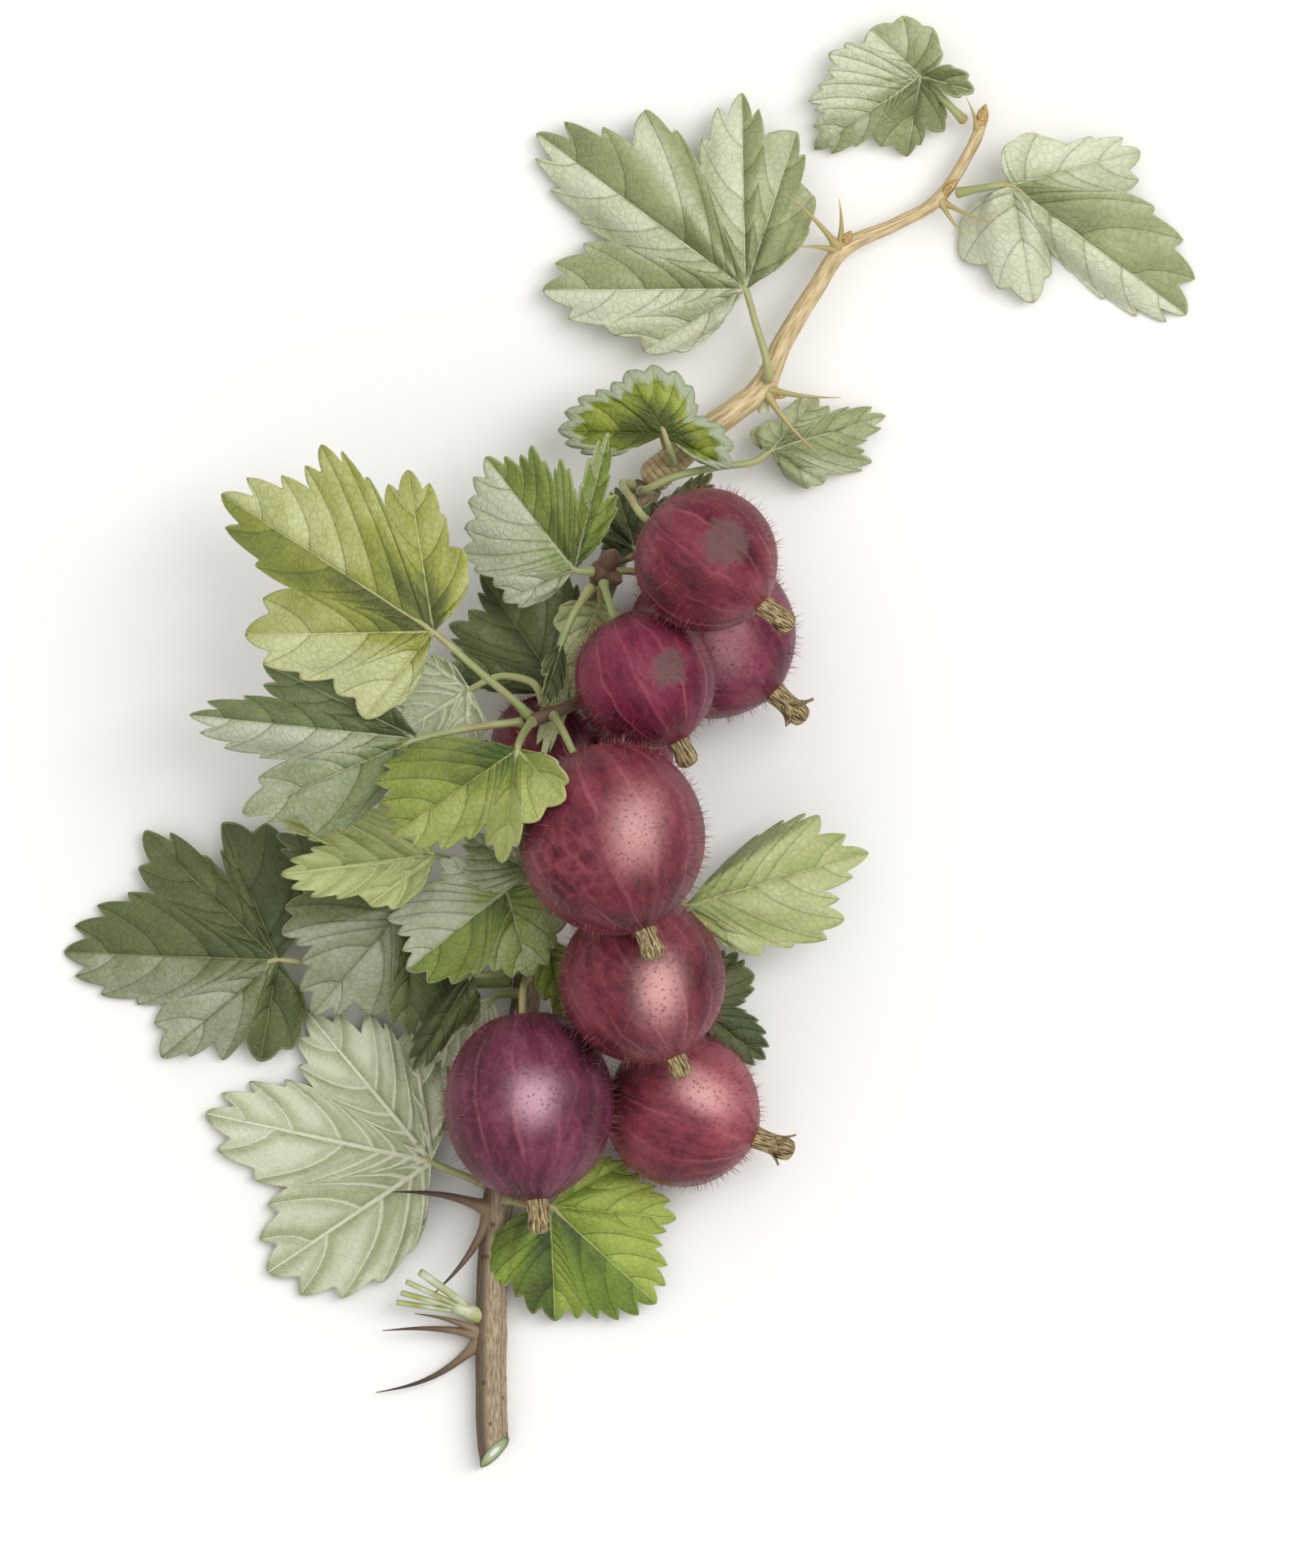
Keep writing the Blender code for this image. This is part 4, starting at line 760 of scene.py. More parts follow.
def make_blade(name, finish, half_lobe_light, mains, foot, outline, rises, settings):
    """Make a leaf's blade, veined and toothed, with a thin shell's thickness."""
    raised = LEAF_FINISHES[finish][4]
    margin, tips, borders = blade_margin(outline, rises, half_lobe_light, mains)
    zones, knots = main_vein_zones(outline, tips, borders, mains)
    reach, turn = margin["reach"][:, None], np.radians(margin["angle"])[:, None]
    place = margin["place"]
    rings = max(12, round(float(reach.max()) / RING_SPACING))
    out = np.linspace(1 / rings, 1.0, rings)[None, :]
    around = reach * out
    x, y = around * np.cos(turn), around * np.sin(turn)
    total = len(place)
    counts = {"left": np.zeros((total, rings)), "right": np.zeros((total, rings))}
    spacing, share = np.ones((total, rings)), np.zeros((total, 1))
    from_main = np.zeros((total, rings))
    for zone in zones:
        for end in zone[1:]:
            low, high = sorted((zone[0], end))
            rows = (place >= low - 1e-6) & (place <= high + 1e-6)
            count, apart = side_vein_count(margin, zone, end, x[rows], y[rows])
            for other in ("left", "right"):
                edge = high if other == "left" else low
                inner = rows & (np.abs(place - edge) > 1e-6)
                counts[other][inner] = count[inner[rows]]
            spacing[rows] = apart
            tip_turn = np.radians(np.interp(zone[0], place, margin["angle"]))
            from_main[rows] = (around * np.sin(np.clip(np.abs(turn - tip_turn), 0, 1.57)))[rows]
            share[rows, 0] = np.abs(place[rows] - zone[0]) / abs(end - zone[0])
    phase = np.where(np.isin(place, [zone[2] for zone in zones])[:, None],
                     counts["left"], counts["right"])
    from_side = np.abs(phase - np.round(phase)) * spacing
    from_edge = reach - around
    inward = np.clip(from_edge / 1.2, 0, 1)
    depth = settings.vein_depth / MM * np.clip(spacing / 2.5, 0, 1)
    pillow = np.abs(np.sin(np.pi * phase)) ** 0.7 - 0.6
    groove = np.exp(-(from_main / 0.55) ** 2)
    ridges = np.exp(-(from_side / 0.4) ** 2)
    if raised:
        relief = depth * (1.8 * groove + (1.1 * ridges - 0.6 * pillow) * inward - 0.4)
    else:
        relief = depth * (1.3 * pillow * inward - 0.9 * groove)
    seed = int(name) * 0.7
    wave = 0.4 * np.sin(0.33 * x + seed) * np.sin(0.29 * y + 2.1 * seed) * out
    smooth = eased(place, knots)[:, None]
    full = np.interp(place, *np.array([knot for knot in knots if knot[0] in tips]).T)[:, None]
    level = around / smooth
    fold = FOLD_DEPTH * (share - 0.35) * np.minimum(level * (1.3 - 0.6 * level), 0.7)
    fold = np.where(level > 1.0, FOLD_DEPTH * (share - 0.35) * 0.7, fold)
    sag = SAG * np.maximum(full / smooth, 1.0)
    roll = LEAF_FINISHES[finish][6]
    if roll > 1:
        relief = relief + 0.9 * np.exp(-((from_edge - roll / 2) / (roll / 2)) ** 2)
    droop = np.minimum(level, 1.0) ** sag + np.maximum(level - 1.0, 0.0)
    height = margin["rise"][:, None] * droop + fold + relief + wave
    height = np.maximum(height, LOWEST - foot[2])
    verts = np.concatenate([[[foot[0], foot[1], foot[2] + relief[:, 0].mean()]], np.stack(
        [foot[0] + x, foot[1] + y, foot[2] + height], axis=2).reshape(-1, 3)])
    faces, corners = [], []
    right, left = counts["right"], counts["left"]
    for i in range(total - 1):
        a, b = 1 + i * rings, 1 + (i + 1) * rings
        faces.append((0, a, b))
        corners += [(left[i, 0], 0.0), (left[i, 0], out[0, 0]), (right[i + 1, 0], out[0, 0])]
        for j in range(rings - 1):
            faces.append((a + j, a + j + 1, b + j + 1, b + j))
            corners += [(left[i, j], out[0, j]), (left[i, j + 1], out[0, j + 1]),
                        (right[i + 1, j + 1], out[0, j + 1]), (right[i + 1, j], out[0, j])]

    def flat(values, centre):
        return np.concatenate([[centre], np.broadcast_to(values, (total, rings)).ravel()])

    # The tone carries each half lobe's painted light and shade.
    attributes = {"main_vein": flat(from_main, 0.0), "vein_spacing": flat(spacing, 0.3),
                  "half_lobe_light": flat(margin["tone"][:, None], float(margin["tone"].mean())),
                  "edge": flat(from_edge, 9.0)}
    upper, under = leaf_material(finish), back_material()
    blade = new_piece("blade_" + name, verts, faces, (upper, under), None, None, attributes)
    layer = blade.data.uv_layers.new(name="surface")
    layer.uv.foreach_set("vector", np.asarray(corners, dtype=np.float32).ravel())
    shell = blade.modifiers.new("thickness", "SOLIDIFY")
    shell.thickness = settings.thickness
    shell.offset = 0.0
    shell.material_offset = 1
    shell.use_even_offset = False
    return claim(plain_mesh(blade), "leaf_" + name)


def make_leaf_stalk(name, foot, stalk, wood_radius, outline, rises, raised):
    """Make a leaf's grooved stalk, which runs on under the blade as its first vein."""
    middle = len(rises) // 2
    angle, reach = outline[2 * middle + 1]
    turn = math.radians(angle)
    start = (foot[0] + reach * STALK_RUN * math.cos(turn),
             foot[1] + reach * STALK_RUN * math.sin(turn),
             foot[2] + rises[middle] * STALK_RUN ** SAG - (0.0 if raised else 0.5))
    near = (foot[0], foot[1], foot[2] - (0.0 if raised else 0.25))
    route = stop_short(smooth_route([start, near, *stalk], 8), wood_radius + CLEARANCE)
    size = len(route) - 1
    radii = [PETIOLE_RADIUS * (0.75 + 0.3 * i / size + 0.35 * max(0, i / size - 0.85) / 0.15)
             for i in range(size + 1)]

    def channel(turn, along):
        return 1 - 0.18 * max(0.0, math.cos(turn)) ** 4

    verts, faces, uvs = tube([(*p, r) for p, r in zip(route, radii)], 12, channel)
    return new_piece("leaf_stalk_" + name, verts, faces, (stalk_material(),), "leaf_" + name,
                     uvs)


def vein_nodes(tree, raised):
    """Read a blade's own maps and return its vein masks, its patterns and its painted light and
    shade.
    """
    # The net's cells are 1.25 mm wide and the blotches 5 mm. The grain is drawn at 0.7 mm,
    # coarser than a leaf's own, so that it shows.
    surface = add_node(tree, "ShaderNodeUVMap", uv_map="surface")
    split = add_node(tree, "ShaderNodeSeparateXYZ", {0: surface.outputs[0]})
    phase, out = split.outputs[0], split.outputs[1]
    spacing, main, edge, half_lobe_light = (
        add_node(tree, "ShaderNodeAttribute", attribute_name=name).outputs[2]
        for name in ("vein_spacing", "main_vein", "edge", "half_lobe_light"))
    place = add_node(tree, "ShaderNodeTexCoord").outputs["Object"]
    nearest = add_node(tree, "ShaderNodeMath", (phase, 0.5), operation="PINGPONG").outputs[0]
    side = add_node(tree, "ShaderNodeMath", (nearest, spacing), operation="MULTIPLY").outputs[0]
    thin = add_node(tree, "ShaderNodeMath", (out, -0.6, 0.95),
                    operation="MULTIPLY_ADD").outputs[0]
    side_off, main_off = (
        add_node(tree, "ShaderNodeMath", (off, thin), operation="DIVIDE").outputs[0]
        for off in (side, main))
    cells = add_node(tree, "ShaderNodeTexVoronoi", {"Vector": place, "Scale": 0.8 / MM},
                     feature="DISTANCE_TO_EDGE").outputs[0]
    patterns = {"edge": edge, "half_lobe_light": half_lobe_light}
    stout = 1.4 if raised else 1.0
    for name, value, full, none in (
            ("side", side_off, 0.06 * stout, 0.3 * stout),
            ("main", main_off, 0.14 * stout, 0.42 * stout),
            ("near_side", side, 0.4, 2.0), ("near_main", main, 0.5, 2.6),
            ("net", cells, 0.02, 0.14), ("foot", out, 0.08, 0.68)):
        patterns[name] = add_node(tree, "ShaderNodeMapRange", (value, full, none, 1.0, 0.0),
                                  interpolation_type="SMOOTHSTEP").outputs[0]
    # Painted shade alongside the veins, from 0.4 to 2 mm from a side vein and 0.5 to 2.6 mm from a
    # main one; used where the veins stand out.
    patterns["shade_beside_veins"] = add_node(tree, "ShaderNodeMath",
                                  (patterns["near_side"], patterns["near_main"]),
                                  operation="MAXIMUM").outputs[0]
    patterns["blotch"] = add_node(tree, "ShaderNodeTexNoise",
                                  {"Vector": place, "Scale": 0.19 / MM, "Detail": 5.0,
                                   "Roughness": 0.6}).outputs[0]
    patterns["grain"] = add_node(tree, "ShaderNodeTexNoise",
                                 {"Vector": place, "Scale": 1.5 / MM, "Detail": 2.0}).outputs[0]
    # Painted light and shade: the panel rises from one side vein to the next, so each panel
    # between side veins is painted darker on one side and lighter on the other.
    patterns["panel"] = add_node(tree, "ShaderNodeMath", (phase,), operation="FRACT").outputs[0]
    return patterns


def leaf_surface(name, dark, middle, pale, vein, raised, margin, margin_width, foot_shade):
    """Make a leaf's face: a matt waxy blade with veins sunk above or standing out below."""
    found = bpy.data.materials.get(name)
    if found:
        return found
    material, tree, shader = new_material(name, 0.58)
    v = vein_nodes(tree, raised)
    # The tone starts from each half lobe's painted light and shade, then adds random blotches and
    # grain, painted light and shade across each panel between side veins, darker towards the foot
    # and, where the veins stand out, painted shade beside them.
    tone = v["half_lobe_light"]
    for pattern, weight in (("blotch", 0.5), ("panel", 0.3 if raised else 0.15), ("grain", 0.24),
                            ("foot", -foot_shade), ("shade_beside_veins", -0.3 if raised else 0.0)):
        tone = add_node(tree, "ShaderNodeMath", (v[pattern], weight, tone),
                        operation="MULTIPLY_ADD").outputs[0]
    tone = add_node(tree, "ShaderNodeMath", (tone, 0.32 if raised else 0.42),
                    operation="SUBTRACT").outputs[0]
    ramp = add_node(tree, "ShaderNodeValToRGB", {0: tone}, stops=(
        (0.05, linear(dark)), (0.5, linear(middle)), (0.95, linear(pale))))
    ragged = add_node(tree, "ShaderNodeMath", (v["blotch"], margin_width * 0.5, v["edge"]),
                      operation="MULTIPLY_ADD").outputs[0]
    rim = add_node(tree, "ShaderNodeMapRange",
                   (ragged, margin_width * 0.95, margin_width * 1.25, 1.0, 0.0),
                   interpolation_type="SMOOTHSTEP").outputs[0]
    # On an upper face the side veins and the net are drawn in the darkest green: painted shade in
    # their sunken grooves. Where the veins stand out they take the veins' own pale colour.
    crease = vein if raised else dark
    colour = laid_over(tree, ramp.outputs[0], (
        (v["net"], 0.08, crease), (v["side"], 0.7 if raised else 0.3, crease),
        (v["main"], 0.82 if raised else 0.6, vein),
        (rim, 0.45 if margin_width < 1 else 0.9, margin)))
    tree.links.new(colour, shader.inputs["Base Color"])
    height = add_node(tree, "ShaderNodeMath", (v["side"], 0.7 if raised else -0.7),
                      operation="MULTIPLY").outputs[0]
    for pattern, weight in (("main", 1.0 if raised else -1.0),
                            ("net", 0.35 if raised else -0.45), ("grain", 0.35)):
        height = add_node(tree, "ShaderNodeMath", (v[pattern], weight, height),
                          operation="MULTIPLY_ADD").outputs[0]
    bump = add_node(tree, "ShaderNodeBump", {"Strength": 0.7, "Distance": 0.2 * MM,
                                             "Height": height})
    tree.links.new(bump.outputs[0], shader.inputs["Normal"])
    return material


def leaf_material(finish):
    """Give the material of a blade's face that shows from above."""
    return leaf_surface("leaf_face_" + finish, *LEAF_FINISHES[finish])


def back_material():
    """Give the material of a blade's other face."""
    return leaf_surface("leaf_back", *BACK_FINISH)


def stalk_material():
    """Make the skin of a leaf's stalk: green, blushed with red-brown, with a satin face."""
    # The blush comes and goes in about 8 mm of a stalk.
    return patchy_material("leaf_stalk_skin", 0.45, 0.13 / MM, 4.0, (
        (0.32, "8d9a62"), (0.55, "a3a470"), (0.75, "9c8258")))


# Berries.

def skin_reach(way, half_widths):
    """Measure from a berry's middle to its skin, one way."""
    return 1 / math.sqrt(sum((w / h) ** 2 for w, h in zip(way, half_widths)))


def skin_point(centre, half_widths, aim, depth=0.0):
    """Find the place on a berry's skin, or under it, on the line to another place."""
    way = (Vector(aim) - Vector(centre)).normalized()
    return Vector(centre) + way * (skin_reach(way, half_widths) - depth)


def mark_strength(off, mark):
    """Work out how strong a mark is at a place measured from the berry's middle."""
    if mark is None or off.z < 0:
        return 0.0
    dx, dy, half_width, half_length, way, strength = mark
    turn = math.radians(way)
    along = (off.x - dx) * math.cos(turn) + (off.y - dy) * math.sin(turn)
    across = (off.y - dy) * math.cos(turn) - (off.x - dx) * math.sin(turn)
    return strength * math.exp(-abs(across / half_width) ** 2.4 - abs(along / half_length) ** 2.4)


def make_berry_skin(number, centre, half_widths, flower_tip, kind):
    """Make a berry's skin, with faint ribs from the flower's end to the stalk's."""
    axis = (Vector(flower_tip) - Vector(centre)).normalized()
    side = axis.orthogonal().normalized()
    up = axis.cross(side)
    around, down = 96, 64
    verts, uvs = [], []
    # Each place's strength of the painted highlight, the scuff and the mottle.
    marks = {"scuff": SCUFFS, "painted_highlight": PAINTED_HIGHLIGHTS, "mottle": MOTTLES}
    attributes = {key: [] for key in marks}
    for i in range(down + 1):
        fall = math.pi * i / down
        for k in range(around + 1):
            turn = 2 * math.pi * k / around
            way = (axis * math.cos(fall)
                   + (side * math.cos(turn) + up * math.sin(turn)) * math.sin(fall))
            reach = skin_reach(way, half_widths)
            rib = 0.006 * math.cos(10 * turn) * math.sin(fall) ** 2
            dimple = 0.05 * math.exp(-((math.pi - fall) / 0.22) ** 2)
            crown = 0.03 * math.exp(-(fall / 0.3) ** 2)
            place = Vector(centre) + way * reach * (0.998 + rib - dimple + crown)
            verts.append(place)
            uvs.append((turn, fall))
            for key, table in marks.items():
                attributes[key].append(mark_strength(place - Vector(centre), table.get(number)))
    faces = []
    for i in range(down):
        for k in range(around):
            a = i * (around + 1) + k
            faces.append((a, a + around + 1, a + around + 2, a + 1))
    skin = new_piece(f"berry_skin_{number}", verts, faces, (skin_material(kind),), None,
                     uvs, attributes)
    weld(skin)
    return claim(skin, f"berry_{number}")


def weld(piece, distance=1e-7):
    """Close a piece's seams and turn its faces outwards."""
    body = bmesh.new()
    body.from_mesh(piece.data)
    bmesh.ops.remove_doubles(body, verts=body.verts, dist=distance)
    bmesh.ops.dissolve_degenerate(body, edges=body.edges, dist=distance)
    bmesh.ops.recalc_face_normals(body, faces=body.faces)
    body.to_mesh(piece.data)
    body.free()
    piece.data.shade_smooth()


def skin_material(kind):
    """Make a ripe berry's skin: thin, tight and satiny, with faint veins and dark specks."""
    name = "berry_skin_" + kind
    found = bpy.data.materials.get(name)
    if found:
        return found
    # Deep, body and lighter red of the skin, and the pale pink of its painted highlight.
    deep, body, blush, painted_highlight = {
        "crimson": ("491a24", "702d39", "8d4852", "dfa9a6"),
        "plum": ("431e2c", "672f45", "82495d", "d0a4b1"),
        "rose": ("4c1729", "74293f", "8e4256", "d59ba4"),
        "rosy": ("5c2731", "883d48", "a0555f", "e2aaa9"),
    }[kind]
    # Clouds are 9 mm wide, veins bend in 6 mm and break in 11 mm, mottled cells are 3 mm, worn
    # spots 1.6 mm and specks 0.8 mm apart. The fine grain is drawn at 0.7 mm, coarser than the
    # skin's own, so that it shows.
    material, tree, shader = new_material(name, 0.36)
    surface = add_node(tree, "ShaderNodeUVMap", uv_map="surface")
    split = add_node(tree, "ShaderNodeSeparateXYZ", {0: surface.outputs[0]})
    turn, fall = split.outputs[0], split.outputs[1]
    place = add_node(tree, "ShaderNodeTexCoord").outputs["Object"]
    mottle, highlight_share, scuff = (
        add_node(tree, "ShaderNodeAttribute", attribute_name=mark).outputs[2]
        for mark in ("mottle", "painted_highlight", "scuff"))

    # Deep and light red in clouds and in streaks from the flower to the stalk.
    cloud = add_node(tree, "ShaderNodeTexNoise",
                     {"Vector": place, "Scale": 0.11 / MM, "Detail": 5.0, "Roughness": 0.6})
    warp = add_node(tree, "ShaderNodeTexNoise",
                    {"Vector": place, "Scale": 0.17 / MM, "Detail": 2.0}).outputs[0]
    fine = add_node(tree, "ShaderNodeTexNoise", {"Vector": place, "Scale": 1.4 / MM}).outputs[0]
    east, north = (add_node(tree, "ShaderNodeMath", (turn,), operation=wave).outputs[0]
                   for wave in ("COSINE", "SINE"))
    down = add_node(tree, "ShaderNodeMath", (fall, 0.22), operation="MULTIPLY").outputs[0]
    ring = add_node(tree, "ShaderNodeCombineXYZ", (east, north, down)).outputs[0]
    ring = add_node(tree, "ShaderNodeVectorMath", (ring, place), operation="ADD").outputs[0]
    streaks = add_node(tree, "ShaderNodeTexNoise",
                       {"Vector": ring, "Scale": 4.5, "Detail": 5.0}).outputs[0]
    tone = cloud.outputs[0]
    for less, pattern, weight in ((0.12, fine, 0.25), (0.37, streaks, 0.7)):
        tone = add_node(tree, "ShaderNodeMath", (tone, less), operation="SUBTRACT").outputs[0]
        tone = add_node(tree, "ShaderNodeMath", (pattern, weight, tone),
                        operation="MULTIPLY_ADD").outputs[0]
    ramp = add_node(tree, "ShaderNodeValToRGB", {0: tone}, stops=(
        (0.3, linear(deep)), (0.52, linear(body)), (0.8, linear(blush))))

    # Twelve pale veins, broken here and there, with twenty-two thinner ones in their gaps.
    veins = []
    for bend, number, width in ((0.22, 12, 0.09), (0.8, 22, 0.16)):
        bent = add_node(tree, "ShaderNodeMath", (warp, bend, turn),
                        operation="MULTIPLY_ADD").outputs[0]
        bent = add_node(tree, "ShaderNodeMath", (bent, number / (2 * math.pi)),
                        operation="MULTIPLY").outputs[0]
        off = add_node(tree, "ShaderNodeMath", (bent, 0.5), operation="PINGPONG").outputs[0]
        veins.append(add_node(tree, "ShaderNodeMapRange", (off, 0.0, width, 1.0, 0.0),
                              interpolation_type="SMOOTHSTEP").outputs[0])
    broken = add_node(tree, "ShaderNodeTexNoise", {"Vector": place, "Scale": 0.09 / MM})
    broken = add_node(tree, "ShaderNodeMapRange", (broken.outputs[0], 0.62, 0.4, 1.0, 0.0),
                      interpolation_type="SMOOTHSTEP").outputs[0]
    lines = add_node(tree, "ShaderNodeMath", (veins[0], broken), operation="MULTIPLY").outputs[0]
    twigs = add_node(tree, "ShaderNodeMath", (veins[1], 0.35), operation="MULTIPLY").outputs[0]
    gaps = add_node(tree, "ShaderNodeMath", (1.0, broken), operation="SUBTRACT").outputs[0]
    twigs = add_node(tree, "ShaderNodeMath", (twigs, gaps), operation="MULTIPLY").outputs[0]
    veins = add_node(tree, "ShaderNodeMath", (lines, twigs), operation="MAXIMUM").outputs[0]

    # Dark cells with pale seams, where the skin is mottled.
    swirl = add_node(tree, "ShaderNodeTexNoise",
                     {"Vector": place, "Scale": 0.3 / MM, "Detail": 2.0}).outputs[1]
    swirl = add_node(tree, "ShaderNodeVectorMath", (swirl, (3 * MM, 3 * MM, 3 * MM)),
                     operation="MULTIPLY").outputs[0]
    swirl = add_node(tree, "ShaderNodeVectorMath", (swirl, place), operation="ADD").outputs[0]
    cells = add_node(tree, "ShaderNodeTexVoronoi", {"Vector": swirl, "Scale": 0.33 / MM},
                     feature="DISTANCE_TO_EDGE").outputs[0]
    mottles = []
    for full, none in ((0.3, 0.1), (0.02, 0.12)):
        part = add_node(tree, "ShaderNodeMapRange", (cells, full, none, 1.0, 0.0),
                        interpolation_type="SMOOTHSTEP").outputs[0]
        mottles.append(add_node(tree, "ShaderNodeMath", (part, mottle),
                                operation="MULTIPLY").outputs[0])

    # Painted highlight: pale pink where the light shines on the berry, streaked where it fades.
    streaked_highlight = highlight_share
    for less, pattern, weight in ((0.17, fine, 0.35), (0.15, streaks, 0.3)):
        streaked_highlight = add_node(tree, "ShaderNodeMath", (streaked_highlight, less),
                           operation="SUBTRACT").outputs[0]
        streaked_highlight = add_node(tree, "ShaderNodeMath", (pattern, weight, streaked_highlight),
                           operation="MULTIPLY_ADD").outputs[0]
    streaked_highlight = add_node(tree, "ShaderNodeMath", (streaked_highlight, highlight_share), operation="MULTIPLY").outputs[0]
    streaked_highlight = add_node(tree, "ShaderNodeMath", (streaked_highlight, 0.0), operation="MAXIMUM").outputs[0]

    # Dark specks, which show most under the painted highlight, and skin worn dull and rough.
    specks = add_node(tree, "ShaderNodeTexVoronoi", {"Vector": place, "Scale": 1.2 / MM})
    dots = add_node(tree, "ShaderNodeMapRange", (specks.outputs[0], 0.18, 0.3, 1.0, 0.0),
                    interpolation_type="SMOOTHSTEP").outputs[0]
    showing = add_node(tree, "ShaderNodeMath", (highlight_share, 0.3, 0.25),
                       operation="MULTIPLY_ADD").outputs[0]
    worn = add_node(tree, "ShaderNodeTexNoise",
                    {"Vector": place, "Scale": 0.62 / MM, "Detail": 5.0, "Roughness": 0.7})
    worn = add_node(tree, "ShaderNodeMath", (worn.outputs[0], 1.6, scuff),
                    operation="MULTIPLY_ADD").outputs[0]
    worn = add_node(tree, "ShaderNodeMapRange", (worn, 1.5, 1.15, 1.0, 0.0),
                    interpolation_type="SMOOTHSTEP").outputs[0]

    colour = laid_over(tree, ramp.outputs[0], (
        (veins, 0.34, "b86a76"), (mottles[0], 0.6, "42131f"), (mottles[1], 0.32, "a4565f"),
        (streaked_highlight, 0.8, painted_highlight), (dots, showing, "4a1822"), (worn, 0.8, "6b5250")))
    tree.links.new(colour, shader.inputs["Base Color"])
    rough = add_node(tree, "ShaderNodeMath", (worn, 0.4, 0.36), operation="MULTIPLY_ADD")
    tree.links.new(rough.outputs[0], shader.inputs["Roughness"])
    for socket, value in (("Specular IOR Level", 0.18), ("Subsurface Weight", 0.08),
                          ("Subsurface Radius", (1.0, 0.3, 0.3)),
                          ("Subsurface Scale", 1.5 * MM)):
        shader.inputs[socket].default_value = value
    height = add_node(tree, "ShaderNodeMath", (fine, 0.35, veins), operation="MULTIPLY_ADD")
    bump = add_node(tree, "ShaderNodeBump", {"Strength": 0.2, "Distance": 0.2 * MM,
                                             "Height": height.outputs[0]})
    tree.links.new(bump.outputs[0], shader.inputs["Normal"])
    return material


def make_fruit_stalk(number, centre, half_widths, stalk, wood_radius):
    """Make a berry's stalk."""
    start = skin_point(centre, half_widths, stalk[0], EMBEDDING)
    route = stop_short(smooth_route([tuple(start), *stalk], 10), wood_radius + CLEARANCE)
    size = len(route) - 1
    radii = [PEDICEL_RADIUS * (1 + 0.5 * max(0, 1 - 8 * i / size) + 0.5 * max(0, 8 * i / size - 7))
             for i in range(size + 1)]
    verts, faces, uvs = tube([(*p, r) for p, r in zip(route, radii)], 12)
    return new_piece(f"fruit_stalk_{number}", verts, faces, (stalk_material(),),
                     f"berry_{number}", uvs)


def make_dried_flower(number, centre, half_widths, flower_tip):
    """Make the withered flower at a berry's end: a neck and five shrivelled sepals."""
    draws = random.Random(FLOWER_SEED + number)
    tip = Vector(flower_tip)
    foot = skin_point(centre, half_widths, flower_tip, 0.7)
    axis = (tip - foot).normalized()
    length = (tip - foot).length
    side = axis.orthogonal().normalized()
    up = axis.cross(side)
    neck_radius = 1.55 + 0.02 * half_widths[0]
    neck = []
    for share, radius in ((0.0, 1.12), (0.1, 0.98), (0.3, 0.86), (0.55, 0.84), (0.8, 0.92),
                          (0.92, 0.86)):
        neck.append((*(foot + axis * length * share), neck_radius * radius))

    def fluted(turn, along):
        ridge = abs(math.cos(2.5 * turn + 0.12 * along)) ** 0.6
        return 0.84 + 0.2 * ridge + 0.03 * math.cos(17 * turn)

    parts = [tube(smooth_route(neck, 5), 60, fluted)]
    curl = 1.0 if number in CURLED_FLOWERS else 0.25
    for k in range(5):
        turn = 2 * math.pi * (k + draws.uniform(-0.2, 0.2)) / 5
        out = side * math.cos(turn) + up * math.sin(turn)
        reach = length * draws.uniform(0.42, 0.56)
        spread = curl * draws.uniform(0.3, 1.2)
        start = foot + axis * length * 0.46 + out * neck_radius * 0.78
        strip = []
        for step in range(15):
            t = step / 14
            place = start + axis * reach * t * (1 - 0.25 * spread * t)
            place += out * reach * spread * t * t * 0.8
            place += axis.cross(out) * math.sin(2.5 * t + k) * 0.3 * t
            strip.append((*place, 0.25 + 0.6 * math.sin(math.pi * min(1.0, t + 0.25)) ** 0.7
                          * (1 - 0.35 * t)))
        parts.append(ribbon(strip, out, draws.uniform(-0.7, 0.7) * curl))
    verts, faces, uvs = joined(parts)
    return new_piece(f"dried_flower_{number}", verts, faces, (dried_material(),),
                     f"berry_{number}", uvs)


def ribbon(strip, face, twist):
    """Sweep a thin curled strip along places with half widths, its face turned one way."""
    verts, uvs = [], []
    sides = 14
    for i, ((place, way, _, _), point) in enumerate(zip(frames_along(strip), strip)):
        wide = (Matrix.Rotation(twist * i / len(strip), 3, way) @ way.cross(face)).normalized()
        thin = wide.cross(way).normalized()
        for k in range(sides):
            turn = 2 * math.pi * k / sides
            across = math.cos(turn) * point[3]
            curl = -0.5 * across * across / max(point[3], 0.2)
            verts.append(place + wide * across + thin * (curl + 0.11 * math.sin(turn)))
            uvs.append((turn, i * 0.4))
    faces = bands(len(strip), sides)
    faces.append(tuple(reversed(range(sides))))
    faces.append(tuple(range((len(strip) - 1) * sides, len(strip) * sides)))
    return verts, faces, uvs


def dried_material():
    """Make the withered flower's skin: brown papery tissue with darker streaks along it."""
    # Streaks are 1.7 mm long and a sixth of a radian wide.
    return patchy_material("withered_flower", 0.75, 2.6, 5.0, (
        (0.36, "33271a"), (0.47, "76623f"), (0.6, "c2af80")), (2.2, 0.22, 1.0), (0.8, 0.2 * MM))


# Wood.

